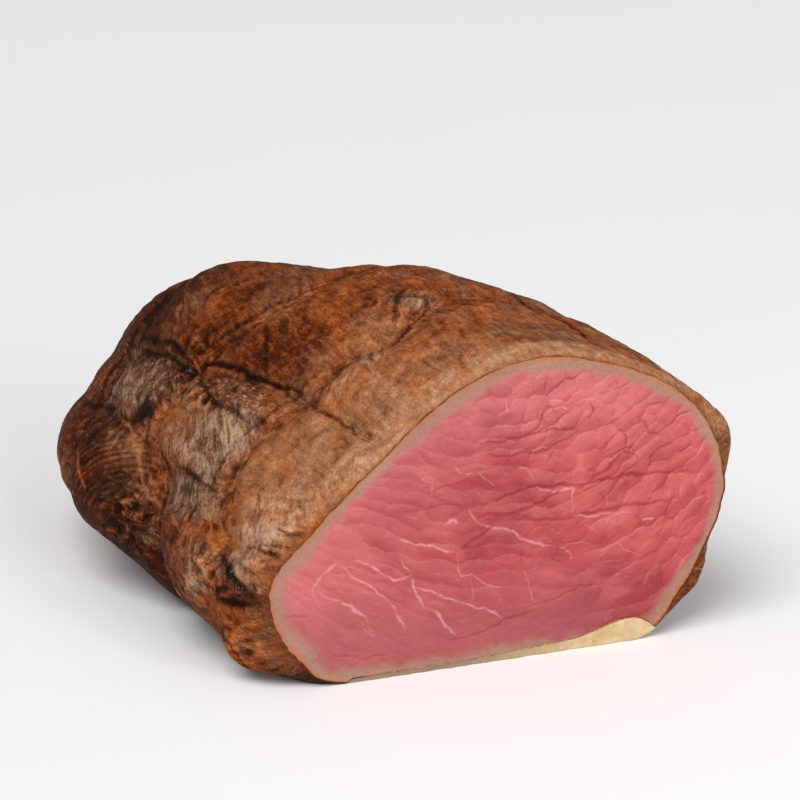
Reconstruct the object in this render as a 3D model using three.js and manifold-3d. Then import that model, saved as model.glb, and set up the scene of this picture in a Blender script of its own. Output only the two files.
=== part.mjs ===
// Roast beef joint of about 2.3 kg, roasted tied, with its first slices carved off the front.
// It lies on its fat side. Millimetres, +Z up, the cut faces -Y and the tied end +Y.
// The origin is the middle of the bounding box's floor.
import * as THREE from 'three';
import { mergeVertices } from 'three/addons/utils/BufferGeometryUtils.js';
import Module from 'manifold-3d';

// Outline of the cut as [x, z], from the foot's left end up the left side, over the top and back.
const CUT_OUTLINE = [
  [-54, 0], [-70, 9.5], [-79, 25], [-78.5, 40], [-64, 55], [-45, 72.5], [-25, 89], [-5, 100], [14, 103],
  [36, 99], [58, 89], [74, 73], [80, 52], [75, 33], [64, 14.5], [48, 0], [0, 0],
];
const AXIS_HEIGHT = 40;

// Length from the cut to the tied end, and how far the body leans left on the way.
const LENGTH = 196;
const LEAN = { linear: -41, square: -23 };

// The skin's relief points away from the axis, which stops this far short of the tied end.
const AXIS_STOP = 60;

// The meat swells out just behind the cut, by these shares of its radius, over SWELL_LENGTH.
const SWELL = { left: 0.06, right: 0.1, top: 0.025, foot: 0.11 };
const SWELL_LENGTH = 8;

// How blunt each side closes towards the tied end: 2 is an ellipse, and more is blunter.
const CLOSE = { left: 2.2, right: 5, top: 4.7, footLeft: 1.6, footRight: 6 };
const FOOT_BLEND = { from: -40, to: 10 };

// Muscle swells and hollows as [girth, depth, half width round, half width along, height].
// Girth runs round the cut's outline from the foot's left end, and depth runs back from the cut.
const MUSCLES = [
  [245, 48, 24, 22, 5], [214, 46, 18, 20, 2.5], [208, 82, 22, 22, 6], [170, 75, 25, 20, 4],
  [180, 102, 18, 14, 6], [150, 150, 25, 25, 5], [125, 182, 25, 20, 2], [244, 8, 13, 13, 4.5],
  [265, 12, 11, 16, -5], [296, 9, 11, 13, 4], [56, 140, 22, 34, 3.5], [40, 110, 14, 30, 5.5],
  [42, 75, 16, 16, -5], [26, 14, 18, 14, 8.5], [40, 45, 18, 16, 3],
];

// Marks of the butcher's string: three rings round the joint, and lines along it, as [girth, depth].
// They are shallow over the crown's right side, and shallow again near the tip.
const RING_MARKS = [
  {
    depth: 3.4,
    path: [
      [0, 24], [25, 22], [42, 26], [57, 29], [66, 40], [72, 47], [82, 53], [97, 54], [116, 51], [129, 52],
      [145, 47], [163, 56], [190, 66], [220, 62], [255, 56], [290, 54], [325, 50], [365, 40], [400, 30],
    ],
  },
  {
    depth: 3.8,
    path: [
      [0, 70], [30, 72], [57, 76], [63, 85], [70, 98], [79, 108], [90, 109], [103, 113], [118, 110],
      [139, 106], [152, 104], [172, 102], [200, 106], [240, 110], [280, 108], [320, 102], [360, 90],
      [400, 78],
    ],
  },
  {
    depth: 2.6,
    path: [
      [0, 120], [40, 128], [60, 140], [80, 152], [110, 160], [150, 160], [200, 158], [250, 160],
      [300, 156], [340, 144], [385, 130],
    ],
  },
];
const LINE_MARKS = [
  {
    depth: 2.8,
    path: [
      [109, 12], [110, 29], [111, 46], [111, 67], [110, 81], [106, 104], [104, 128], [106, 150], [108, 196],
    ],
  },
  {
    depth: 2.6,
    path: [
      [56, 18], [57, 29], [60, 56], [66, 85], [73, 113], [77, 133], [73, 147], [70, 166], [66, 196],
    ],
  },
  { depth: 2.2, path: [[198, 20], [204, 60], [200, 110], [206, 150], [204, 196]] },
  { depth: 2.6, path: [[276, 14], [272, 60], [278, 108], [270, 150], [274, 196]] },
  { depth: 2.2, path: [[330, 16], [326, 60], [334, 108], [328, 150], [332, 196]] },
];
const MARK_WIDTH = 5.5;
const CROWN_EASE = { girth: 218, width: 42, share: 0.65 };
const TIP_SHARE = 0.35;
const TIP_LENGTH = 50;

// The sole and the rim of the cut stay true: the relief grows with height over the floor and with depth.
const SOLE_HEIGHT = 9;
const RIM_LENGTH = 3.5;

// A knob of crust low on the left, and the torn flap below the upper line mark.
const CRAGS = [
  { girth: 45, depth: 30, radius: 7, height: 3 },
  { girth: 99, depth: 74, radius: 9, height: 2.2 },
  { girth: 84, depth: 128, radius: 9, height: 1.8 },
];

// Small unevenness all over: wave lengths along and round the joint, sway of the waves, and height.
const RIPPLE = { along: 14, round: 9, sway: 2, turns: 3, height: 0.7 };

// Creases between the muscle bundles on the cut as [x, z] ends, and how deep they sink.
const CREASES = [
  [[-10, 53], [13, 52]], [[12, 59], [67, 58]], [[20, 47], [54, 47]], [[-10, 71], [31, 79]],
  [[7, 34], [27, 41]], [[4, 16], [32, 20]], [[-53, 40], [-32, 15.5]], [[-47, 41], [-16, 12]],
];
const CREASE = { depth: 1.1, width: 5, rim: 0.2 };

// Fat layer under the meat: its height over the floor by place across the cut, as [x, z].
const FAT_TOP = [
  [-52, 1.4], [-20, 1.8], [0, 2.2], [18, 3.2], [27, 3.9], [33, 5.2], [39, 7.1], [44, 8.2],
  [48, 8.3], [51, 7.3], [53.5, 5.6], [56, 3], [58, 0], [60, -2],
];

// The layer's left edge bends in towards the back, where the layer is thinner. It ends short of the tip.
const FAT_LEFT_EDGE = { start: -56, bend: 0.0035 };
const FAT_THIN = { from: 20, to: 120, share: 0.6 };
const FAT_REACH = { front: -4, back: 128, right: 76, below: -6 };
const FAT_EDGE = -1.5;
const GAP = 0.3;

// Facets of the solids
const AROUND = 84;
const ALONG = 42;
const ROW_EASE = 1.25;
const FACE_RINGS = 8;
const FAT_COLUMNS = 44;
const FAT_ROWS = 22;
const CURVE_STEPS = 48;
const ARC_STEPS = 1600;

const { clamp, smoothstep, lerp } = THREE.MathUtils;

// The outline as evenly spaced points, each with its girth.
function outlinePoints() {
  const curve = new THREE.CatmullRomCurve3(
    CUT_OUTLINE.map(([x, z]) => new THREE.Vector3(x, 0, z)), true, 'catmullrom', 0.5,
  );
  curve.arcLengthDivisions = ARC_STEPS;
  const total = curve.getLength();
  const points = curve.getSpacedPoints(AROUND).slice(0, AROUND);
  return points.map((p, i) => ({ x: p.x, z: p.z, girth: (i * total) / AROUND, total }));
}

// A mark's path as short steps, closed round the joint for a ring.
function markSteps(path, total, closed) {
  const points = path.map(([girth, depth]) => new THREE.Vector2(girth, depth));
  if (closed) {
    const [first, second] = points;
    const [beforeLast, last] = points.slice(-2);
    points.unshift(
      new THREE.Vector2(beforeLast.x - total, beforeLast.y),
      new THREE.Vector2(last.x - total, last.y),
    );
    points.push(
      new THREE.Vector2(first.x + total, first.y),
      new THREE.Vector2(second.x + total, second.y),
    );
  }
  return new THREE.SplineCurve(points).getPoints(CURVE_STEPS);
}

// Distance on the skin from a place to a mark. The girth shrinks as the joint closes.
function distanceToMark(steps, girth, depth, shrink) {
  let nearest = Infinity;
  for (let i = 1; i < steps.length; i += 1) {
    const ax = (steps[i - 1].x - girth) * shrink;
    const bx = (steps[i].x - girth) * shrink;
    const ay = steps[i - 1].y - depth;
    const by = steps[i].y - depth;
    const run = (bx - ax) ** 2 + (by - ay) ** 2;
    const along = run > 0 ? clamp((ax * (ax - bx) + ay * (ay - by)) / run, 0, 1) : 0;
    nearest = Math.min(nearest, Math.hypot(lerp(ax, bx, along), lerp(ay, by, along)));
  }
  return nearest;
}

const bell = (distance, width) => Math.exp(-((distance / width) ** 2));

// How much of its radius the joint keeps at a share t of its length.
const closing = (t, blunt) => Math.sqrt(Math.max(1 - t ** blunt, 0));

// Height of the skin's relief: swells, crags and ripple, less the string marks.
function skinHeight(marks, girth, depth, total) {
  const shrink = closing(depth / LENGTH, CLOSE.left);
  const crown = 1 - CROWN_EASE.share * bell(girth - CROWN_EASE.girth, CROWN_EASE.width);
  const share = crown * lerp(TIP_SHARE, 1, smoothstep(LENGTH - depth, 0, TIP_LENGTH));
  const cuts = marks.map(({ steps, deep }) => {
    return deep * share * bell(distanceToMark(steps, girth, depth, shrink), MARK_WIDTH);
  });
  const swells = MUSCLES.map(([g, d, round, along, height]) => {
    return height * bell(girth - g, round) * bell(depth - d, along);
  });
  const crags = CRAGS.map((c) => {
    return c.height * bell(Math.hypot(girth - c.girth, depth - c.depth), c.radius);
  });
  const turn = (2 * Math.PI * girth) / total;
  const ripple = RIPPLE.height
    * Math.sin(depth / RIPPLE.along + RIPPLE.sway * Math.sin(RIPPLE.turns * turn))
    * Math.sin(girth / RIPPLE.round + Math.sin(depth / RIPPLE.along));
  const raised = [...swells, ...crags].reduce((sum, h) => sum + h, 0);
  return raised + ripple * shrink - Math.hypot(...cuts);
}

// Middle line of the joint at a share t of its length.
const lean = (t) => LEAN.linear * t + LEAN.square * t * t;

// The foot closes early on the left and late on the right.
function footShare(x, t) {
  const right = smoothstep(x, FOOT_BLEND.from, FOOT_BLEND.to);
  return lerp(closing(t, CLOSE.footLeft), closing(t, CLOSE.footRight), right);
}

// A point of the skin: the cut's outline, swollen, closed and leaned, then raised by the skin's height.
function skinPoint(place, depth, marks) {
  const t = depth / LENGTH;
  const swollen = 1 - Math.exp(-depth / SWELL_LENGTH);
  const wide = place.x < 0
    ? (1 + SWELL.left * swollen) * closing(t, CLOSE.left)
    : (1 + SWELL.right * swollen) * closing(t, CLOSE.right);
  const high = place.z > AXIS_HEIGHT
    ? (1 + SWELL.top * swollen) * closing(t, CLOSE.top)
    : (1 + SWELL.foot * swollen) * footShare(place.x, t);
  const point = new THREE.Vector3(
    lean(t) + place.x * wide, depth, AXIS_HEIGHT + (place.z - AXIS_HEIGHT) * high,
  );
  const inner = new THREE.Vector3(lean(t), Math.min(depth, LENGTH - AXIS_STOP), AXIS_HEIGHT);
  const outward = point.clone().sub(inner).normalize();
  const height = skinHeight(marks, place.girth, depth, place.total);
  const share = smoothstep(depth, 0, RIM_LENGTH) * smoothstep(point.z, 0, SOLE_HEIGHT);
  point.addScaledVector(outward, height * share);
  point.z = Math.max(point.z, 0);
  return point;
}

// How far the cut's surface sinks at a place, nothing at its rim.
function creaseDepth(x, z, inward) {
  const cuts = CREASES.map(([[x0, z0], [x1, z1]]) => {
    const line = new THREE.Line3(new THREE.Vector3(x0, 0, z0), new THREE.Vector3(x1, 0, z1));
    const here = new THREE.Vector3(x, 0, z);
    const near = line.closestPointToPoint(here, true, new THREE.Vector3());
    return CREASE.depth * bell(near.distanceTo(here), CREASE.width);
  });
  return Math.hypot(...cuts) * smoothstep(inward, 0, CREASE.rim);
}

// The whole joint as one closed grid: the cut's rings, then the rows of skin up to the tied end.
function jointGeometry() {
  const outline = outlinePoints();
  const { total } = outline[0];
  const marks = [
    ...RING_MARKS.map(({ depth, path }) => ({ deep: depth, steps: markSteps(path, total, true) })),
    ...LINE_MARKS.map(({ depth, path }) => ({ deep: depth, steps: markSteps(path, total, false) })),
  ];
  const rows = [];
  for (let ring = 1; ring < FACE_RINGS; ring += 1) {
    const share = ring / FACE_RINGS;
    rows.push(outline.map((p) => {
      const x = p.x * share;
      const z = lerp(AXIS_HEIGHT, p.z, share);
      return new THREE.Vector3(x, creaseDepth(x, z, 1 - share), z);
    }));
  }
  for (let row = 0; row < ALONG; row += 1) {
    const depth = LENGTH * Math.sin((Math.PI / 2) * (row / ALONG) ** ROW_EASE);
    rows.push(outline.map((p) => skinPoint(p, depth, marks)));
  }
  const middle = new THREE.Vector3(0, creaseDepth(0, AXIS_HEIGHT, 1), AXIS_HEIGHT);
  const tip = skinPoint(outline[0], LENGTH, marks);
  return closedGrid(rows, middle, tip);
}

// A closed surface from rows of points, each row a loop, with a point at either end.
function closedGrid(rows, first, last) {
  const points = [first, ...rows.flat(), last];
  const count = rows[0].length;
  const faces = [];
  const at = (row, i) => 1 + row * count + (i % count);
  for (let i = 0; i < count; i += 1) {
    faces.push(0, at(0, i + 1), at(0, i));
    for (let row = 1; row < rows.length; row += 1) {
      faces.push(at(row - 1, i), at(row, i + 1), at(row, i));
      faces.push(at(row - 1, i), at(row - 1, i + 1), at(row, i + 1));
    }
    faces.push(points.length - 1, at(rows.length - 1, i), at(rows.length - 1, i + 1));
  }
  const geometry = new THREE.BufferGeometry().setFromPoints(points);
  geometry.setIndex(faces);
  return geometry;
}

// Value at x on the straight lines between a table's points.
function between(table, x) {
  const next = table.findIndex(([place]) => place > x);
  if (next < 1) {
    return next === 0 ? table[0][1] : table[table.length - 1][1];
  }
  const [x0, y0] = table[next - 1];
  const [x1, y1] = table[next];
  return lerp(y0, y1, (x - x0) / (x1 - x0));
}

// Everything that lies below the fat's top surface, lifted by a clearance.
// The first column and the last row drop under the floor, so the layer ends there in a clean edge.
function belowFat(clearance) {
  const geometry = new THREE.BoxGeometry(1, 1, 1, FAT_COLUMNS, FAT_ROWS, 1);
  const position = geometry.getAttribute('position');
  for (let i = 0; i < position.count; i += 1) {
    const depth = lerp(FAT_REACH.front, FAT_REACH.back, position.getY(i) + 0.5);
    const edge = FAT_LEFT_EDGE.start + FAT_LEFT_EDGE.bend * depth ** 2;
    const across = lerp(edge, FAT_REACH.right, position.getX(i) + 0.5);
    const t = clamp(depth / LENGTH, 0, 1);
    const swollen = 1 - Math.exp(-Math.max(depth, 0) / SWELL_LENGTH);
    const side = across < 0 ? SWELL.left : SWELL.right;
    const blunt = across < 0 ? CLOSE.left : CLOSE.right;
    const x = lean(t) + across * (1 + side * swollen) * closing(t, blunt);
    const thin = lerp(1, FAT_THIN.share, smoothstep(depth, FAT_THIN.from, FAT_THIN.to));
    const inside = position.getX(i) > -0.5 && position.getY(i) < 0.5;
    const top = (inside ? between(FAT_TOP, across) * thin : FAT_EDGE) + clearance;
    position.setXYZ(i, x, depth, position.getZ(i) > 0 ? top : FAT_REACH.below);
  }
  return geometry;
}

// Solids for the joins and cuts
const wasm = await Module();
wasm.setup();

function toSolid(geometry) {
  const bare = geometry.clone();
  bare.deleteAttribute('normal');
  bare.deleteAttribute('uv');
  const merged = mergeVertices(bare);
  return new wasm.Manifold(new wasm.Mesh({
    numProp: 3,
    vertProperties: new Float32Array(merged.getAttribute('position').array),
    triVerts: new Uint32Array(merged.getIndex().array),
  }));
}

function toGeometry(solid) {
  const { vertProperties, triVerts } = solid.getMesh();
  const geometry = new THREE.BufferGeometry();
  geometry.setAttribute('position', new THREE.BufferAttribute(vertProperties, 3));
  geometry.setIndex(new THREE.BufferAttribute(triVerts, 1));
  geometry.computeVertexNormals();
  return geometry;
}

function piece(name, solid, color, roughness) {
  const material = new THREE.MeshStandardMaterial({ color, roughness, metalness: 0 });
  const mesh = new THREE.Mesh(toGeometry(solid), material);
  mesh.name = name;
  return mesh;
}

const joint = toSolid(jointGeometry());
const group = new THREE.Group();
group.add(piece('roast', joint.subtract(toSolid(belowFat(GAP))), 0x7a4a2a, 0.55));
group.add(piece('fat_cap', joint.intersect(toSolid(belowFat(0))), 0xe6d3a2, 0.5));

// The origin goes to the middle of the box's floor.
const box = new THREE.Box3().setFromObject(group);
const middle = box.getCenter(new THREE.Vector3());
group.position.set(-middle.x, -middle.y, -box.min.z);

export default group;
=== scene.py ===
"""A roast beef joint with one end cut off: a browned crust, the pink cut and a strip of fat under it.

The long form is the solid's. Girth is the way round the cut's outline, in millimetres from the left end
of the foot, and depth is the way back from the cut. Shapes are worked out in millimetres round the middle
of the cut and turned into the frame's metres at the end.
"""
import math

import bpy
import numpy as np
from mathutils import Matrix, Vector


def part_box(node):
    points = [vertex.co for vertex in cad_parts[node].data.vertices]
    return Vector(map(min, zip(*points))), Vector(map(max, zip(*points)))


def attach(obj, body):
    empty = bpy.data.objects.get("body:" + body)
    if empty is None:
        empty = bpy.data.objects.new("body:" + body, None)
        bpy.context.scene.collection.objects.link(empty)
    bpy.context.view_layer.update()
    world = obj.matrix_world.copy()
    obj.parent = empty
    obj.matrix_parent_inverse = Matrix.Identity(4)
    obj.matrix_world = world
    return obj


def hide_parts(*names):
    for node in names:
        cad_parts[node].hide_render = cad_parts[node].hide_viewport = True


bl_info = {
    "name": "Roast Beef Joint",
    "version": (1, 0, 0),
    "blender": (4, 5, 0),
    "location": "3D View > Sidebar > Roast",
    "description": "Dresses the roast beef joint with its crust, its pink cut and its fat",
    "category": "Add Mesh",
}

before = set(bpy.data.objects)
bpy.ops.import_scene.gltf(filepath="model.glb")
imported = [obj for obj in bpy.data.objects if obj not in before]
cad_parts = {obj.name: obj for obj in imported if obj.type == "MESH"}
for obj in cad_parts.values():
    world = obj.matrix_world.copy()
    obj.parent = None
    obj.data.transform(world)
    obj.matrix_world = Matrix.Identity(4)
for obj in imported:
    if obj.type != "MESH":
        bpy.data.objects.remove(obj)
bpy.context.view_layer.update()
MM = 0.001
TINY = 1e-9

# The form of the joint, in millimetres, as the solid has it. First the outline of the cut, as ways across
# and heights, and the point of it where the sole begins at the right.
CUT_OUTLINE = [
    (-54, 0), (-70, 9.5), (-79, 25), (-78.5, 40), (-64, 55), (-45, 72.5), (-25, 89), (-5, 100), (14, 103),
    (36, 99), (58, 89), (74, 73), (80, 52), (75, 33), (64, 14.5), (48, 0), (0, 0),
]
SOLE_RIGHT = (48, 0)
# The axis in the joint, how the joint leans, how it swells behind the cut and how bluntly each side closes.
AXIS_HEIGHT = 40.0
AXIS_STOP = 60.0
LENGTH = 196.0
LEAN_LINEAR = -41.0
LEAN_SQUARE = -23.0
SWELL_LEFT = 0.06
SWELL_RIGHT = 0.1
SWELL_TOP = 0.025
SWELL_FOOT = 0.11
SWELL_LENGTH = 8.0
CLOSE_LEFT = 2.2
CLOSE_RIGHT = 5.0
CLOSE_TOP = 4.7
CLOSE_FOOT_LEFT = 1.6
CLOSE_FOOT_RIGHT = 6.0
FOOT_BLEND = (-40.0, 10.0)

# The muscles that stand out of it: girth, depth, half width round, half width along, height.
MUSCLES = [
    (245, 48, 24, 22, 5), (214, 46, 18, 20, 2.5), (208, 82, 22, 22, 6), (170, 75, 25, 20, 4),
    (180, 102, 18, 14, 6), (150, 150, 25, 25, 5), (125, 182, 25, 20, 2), (244, 8, 13, 13, 4.5),
    (265, 12, 11, 16, -5), (296, 9, 11, 13, 4), (56, 140, 22, 34, 3.5), (40, 110, 14, 30, 5.5),
    (42, 75, 16, 16, -5), (26, 14, 18, 14, 8.5), (40, 45, 18, 16, 3),
]
# The torn crags: girth, depth, half width, height. Then the gentle ripple all over.
CRAGS = [(45, 30, 7, 3), (99, 74, 9, 2.2), (84, 128, 9, 1.8)]
RIPPLE_ALONG = 14.0
RIPPLE_ROUND = 9.0
RIPPLE_SWAY = 2.0
RIPPLE_TURNS = 3
RIPPLE_HEIGHT = 0.7

# Where the string was tied, round the joint and along it. A row is the mark's depth, then the girths and
# depths of its path.
RING_MARKS = [
    (3.4, 0, 24, 25, 22, 42, 26, 57, 29, 66, 40, 72, 47, 82, 53, 97, 54, 116, 51, 129, 52, 145, 47, 163, 56,
     190, 66, 220, 62, 255, 56, 290, 54, 325, 50, 365, 40, 400, 30),
    (3.8, 0, 70, 30, 72, 57, 76, 63, 85, 70, 98, 79, 108, 90, 109, 103, 113, 118, 110, 139, 106, 152, 104,
     172, 102, 200, 106, 240, 110, 280, 108, 320, 102, 360, 90, 400, 78),
    (2.6, 0, 120, 40, 128, 60, 140, 80, 152, 110, 160, 150, 160, 200, 158, 250, 160, 300, 156, 340, 144, 385,
     130),
]
LINE_MARKS = [
    (2.8, 109, 12, 110, 29, 111, 46, 111, 67, 110, 81, 106, 104, 104, 128, 106, 150, 108, 196),
    (2.6, 56, 18, 57, 29, 60, 56, 66, 85, 73, 113, 77, 133, 73, 147, 70, 166, 66, 196),
    (2.2, 198, 20, 204, 60, 200, 110, 206, 150, 204, 196),
    (2.6, 276, 14, 272, 60, 278, 108, 270, 150, 274, 196),
    (2.2, 330, 16, 326, 60, 334, 108, 328, 150, 332, 196),
]
# A mark's half width, and how much of its depth it loses on the crown and keeps at the tip. Relief starts
# above the sole and behind the rim.
MARK_WIDTH = 5.5
CROWN_GIRTH = 218.0
CROWN_WIDTH = 42.0
CROWN_SHARE = 0.65
TIP_SHARE = 0.35
TIP_LENGTH = 50.0
SOLE_HEIGHT = 9.0
RIM_LENGTH = 3.5
# Steps between two points of a path and of the outline, and the stations of the solid.
CURVE_STEPS = 6
OUTLINE_STEPS = 200
SOLID_COLUMNS = 84
SOLID_ROWS = 42
SOLID_EASE = 1.25

# The fat under the cut: (way across, height) of its top line, then the depths between which it thins and
# the share that is left, where it ends, over what length it tapers there, and where it starts.
FAT_TOP = [
    (-54, 0), (-52, 1.4), (-20, 1.8), (0, 2.2), (18, 3.2), (27, 3.9), (33, 5.2), (39, 7.1), (44, 8.2),
    (48, 8.3), (51, 7.3), (53.5, 5.6), (56, 3), (58, 0), (60, -2),
]
FAT_THIN = (20.0, 120.0, 0.6)
FAT_BACK = 128.0
FAT_TAPER = 22.0
FAT_START = 0.4
# How far the skin stays above the fat, and the rim of the cut too.
GAP = 0.3
RIM_GAP = 0.02

# What the solid leaves to the looks. A crack is sunk, and a ridge stands out of the crust. A row is a
# line: its depth or height, its half width, how strongly it shows, then the girths and depths of its path.
# Past FARTHEST half widths a line isn't felt.
FARTHEST = 6.0
CRACKS = [
    (0.9, 0.5, 0.7, 109, 20, 110, 30, 111, 38, 111, 46, 112, 54),
    (1.4, 0.8, 1, 113, 56, 113, 63, 112, 72, 111, 81, 112, 90, 111, 100, 110, 108, 109, 115),
    (1.1, 0.7, 0.8, 104, 120, 106, 130, 107, 139),
    (1, 0.8, 0.8, 107, 118, 110, 128, 112, 137, 112, 147, 113, 160),
    (1.3, 0.8, 0.9, 95, 62, 97, 70, 96, 80, 97, 89, 100, 98, 102, 106, 105, 113),
    (0.4, 0.5, 0.5, 58, 33, 64, 42, 70, 48, 77, 53, 84, 56, 92, 58),
    (0.6, 0.6, 0.7, 66, 48, 71, 55, 77, 59, 84, 61, 92, 61, 102, 60, 112, 58, 124, 57),
    (0.6, 0.6, 0.7, 62, 88, 67, 98, 71, 105, 76, 111, 83, 114, 92, 116, 102, 117),
    (0.5, 0.6, 0.6, 72, 110, 79, 116, 86, 119, 95, 120, 104, 119),
    (0.7, 0.5, 0.7, 106, 119, 113, 116, 120, 114, 128, 112, 138, 110, 150, 107),
    (0.4, 0.5, 0.5, 108, 122, 115, 119, 123, 117, 132, 115),
    (1.1, 1.2, 1.2, 46.3, 4, 48, 8, 50, 15, 52, 22, 53, 27), (0.4, 0.5, 0.5, 53, 4, 54, 11, 54, 18, 53, 25),
    (1.1, 0.8, 0.7, 69, 51, 70, 60, 71, 70, 70, 79), (0.8, 0.8, 0.5, 57, 64, 61, 74, 67, 85, 71, 96),
    (0.9, 0.8, 0.7, 77, 134, 74, 145, 71, 156, 68, 168),
    (0.9, 0.8, 0.6, 72, 151, 78, 157, 86, 161, 96, 163, 108, 165, 130, 164, 150, 160),
    (0.6, 0.6, 0.5, 80, 134, 80, 144, 79, 153), (0.9, 0.8, 0.7, 152, 56, 156, 62, 163, 70),
    (0.7, 0.5, 0.6, 158, 56, 164, 60, 169, 66), (0.7, 0.7, 0.5, 128, 131, 134, 135, 141, 133),
    (0.9, 0.6, 0.8, 60, 1, 61, 8, 59, 18), (0.7, 0.5, 0.7, 64.5, 0.5, 64, 6, 62, 13),
    (0.5, 0.4, 0.5, 71, 1, 69, 7, 70, 12), (0.5, 0.4, 0.5, 79, 3, 78, 9, 81, 15),
    (0.3, 0.5, 0.45, 64, 21, 68, 22.5, 71, 22), (0.3, 0.5, 0.45, 71, 20, 72, 24, 75, 28, 76, 32),
    (0.5, 0.6, 0.5, 112, 76, 120, 84, 129, 97),
    (0.6, 0.4, 0.9, 114, 51.5, 122, 51.5, 129, 52, 137, 49.5, 145, 47, 153, 50.5, 163, 56),
    (0.6, 0.6, 0.5, 132, 37, 134, 43, 138, 49), (0.5, 0.5, 0.5, 76, 62, 79, 70, 78, 79),
    (0.6, 0.6, 0.5, 88, 121, 89, 128, 87, 137), (0.8, 0.9, 0.6, 28, 66, 38, 74, 44, 86, 45, 98),
    (0.7, 0.7, 0.6, 14, 8, 22, 14, 32, 16, 40, 22), (1, 0.8, 0.8, 198, 24, 203, 44, 202, 62, 200, 84),
    (1.1, 0.8, 0.9, 276, 22, 272, 44, 273, 66, 277, 90, 276, 110),
    (0.9, 0.8, 0.7, 205, 126, 207, 142, 205, 160), (1, 0.9, 0.8, 331, 20, 327, 44, 329, 70, 333, 96),
    (0.8, 0.7, 0.6, 236, 60, 246, 60, 258, 57, 270, 56),
    (0.7, 0.7, 0.6, 240, 110, 256, 110, 270, 108, 284, 107), (0.7, 0.7, 0.6, 288, 56, 300, 58, 312, 54),
    (0.5, 0.6, 0.5, 226, 20, 229, 32, 226, 44), (0.5, 0.6, 0.5, 252, 70, 250, 84, 254, 98),
    (0.7, 0.7, 0.6, 270, 128, 274, 144, 271, 158),
]
# The ridges are painted lighter: partly pale strands of the crust, partly a painted highlight along them.
RIDGES = [
    (0.5, 0.45, 0.8, 52, 75, 56, 83, 61, 91, 65, 99, 69, 108, 73, 118, 75, 130),
    (0.4, 0.4, 0.6, 46, 64, 50, 72, 55, 79, 60, 86, 66, 96, 71, 106),
    (0.4, 0.5, 0.5, 114, 49, 124, 49.5, 134, 47.5, 147, 44.5, 160, 51),
    (0.5, 0.5, 0.7, 52, 29, 56, 36, 61, 43, 66, 48), (0.4, 0.4, 0.6, 54, 27, 60, 37, 67, 45),
    (0.7, 0.6, 0.7, 100, 82, 102, 90, 104, 97), (0.4, 0.4, 0.5, 103, 66, 104, 75, 106, 86),
    (0.5, 0.4, 0.6, 130, 78, 134, 87, 138, 96, 146, 110), (0.6, 0.6, 0.6, 158, 52, 165, 57, 172, 64),
    (0.5, 0.5, 0.6, 99, 110, 104, 113, 108, 118, 109, 126),
    (0.5, 0.5, 0.7, 48, 108, 52, 118, 55, 127, 57, 136), (0.4, 0.4, 0.5, 53, 42, 55, 56, 57, 68),
    (0.4, 0.4, 0.5, 77, 64, 79, 74, 77, 82), (0.4, 0.4, 0.5, 86, 122, 87, 132, 89, 142),
    (0.6, 0.8, 0.7, 42, 34, 45, 29, 50, 26), (0.7, 0.7, 0.8, 46, 87, 48, 90),
    (0.7, 0.7, 0.7, 50, 86, 52, 88, 51, 91), (0.6, 0.7, 0.7, 38, 76, 41, 79),
    (0.5, 0.5, 0.5, 201, 60, 212, 63, 226, 62), (0.5, 0.5, 0.5, 279, 52, 286, 54, 296, 53),
]
# The lines of the cut, their paths as ways across and heights: dark creases, and thin pale veins, whose
# rows leave out the height, since it is the same for all.
CREASES = [
    (0.8, 0.7, 1, -10, 56, -3.8, 54.8, 2.5, 57.3, 11.3, 59, 23.8, 57.3, 35, 57.9, 45, 59, 52.5, 57.9, 68.8,
     56.6),
    (0.6, 0.6, 0.9, -10, 51.6, 1.3, 50.4, 10, 51.6, 17.5, 54.8, 24, 57),
    (0.8, 0.7, 1, 0, 48.5, 10, 48.5, 16.3, 46.6, 27.5, 46.6, 40, 47.9, 52.5, 47.3, 62.5, 47.9),
    (0.4, 0.5, 0.8, -15, 40.4, -7.5, 44.8, -2.5, 47.3),
    (0.8, 0.7, 1, 42.5, 67.3, 37.5, 62.3, 31.3, 57.9, 25.6, 55.4),
    (0.4, 0.5, 0.8, 42.5, 67.3, 46.3, 66, 48, 62.9),
    (0.5, 0.5, 0.9, -10, 76.6, 2.5, 76, 10, 77, 17.5, 77.9, 26.3, 77.3),
    (0.5, 0.5, 0.9, 2.5, 76, 7.5, 76.6, 13.8, 80.4, 15, 83.5, 20, 85.5),
    (0.6, 0.6, 0.9, -7.5, 71.6, 2.5, 71, 15, 71.6, 22.5, 74, 27.5, 76.6),
    (0.3, 0.5, 0.6, -26, 61.6, -17.5, 62.9, -11.3, 64.8), (0.3, 0.5, 0.6, -35, 56.6, -25, 56.6, -10, 56),
    (0.5, 0.5, 0.9, 31, 86, 32.5, 82.9, 30.6, 79), (0.4, 0.4, 0.9, -67.5, 5.5, -63.8, 9.8),
    (0.3, 0.5, 0.6, -75, 26, -66, 25.4), (0.3, 0.5, 0.6, 10, 17.9, 21, 19.8, 33.8, 22.9),
    (0.3, 0.4, 0.6, 8, 38.5, 6.3, 33.5), (0.3, 0.5, 0.7, -18.8, 9.8, -10, 10.4, 1.3, 13.5, 12.5, 16.6),
    (0.3, 0.4, 0.6, -62, 12, -50, 8, -38, 9), (0.4, 0.5, 0.7, 48, 79, 52, 73, 57, 71),
    (0.4, 0.5, 0.7, 52, 60, 55, 66, 61, 68), (0.4, 0.5, 0.7, 40, 76, 44, 71, 43, 66),
]
VEIN_HEIGHT = 0.06
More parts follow.
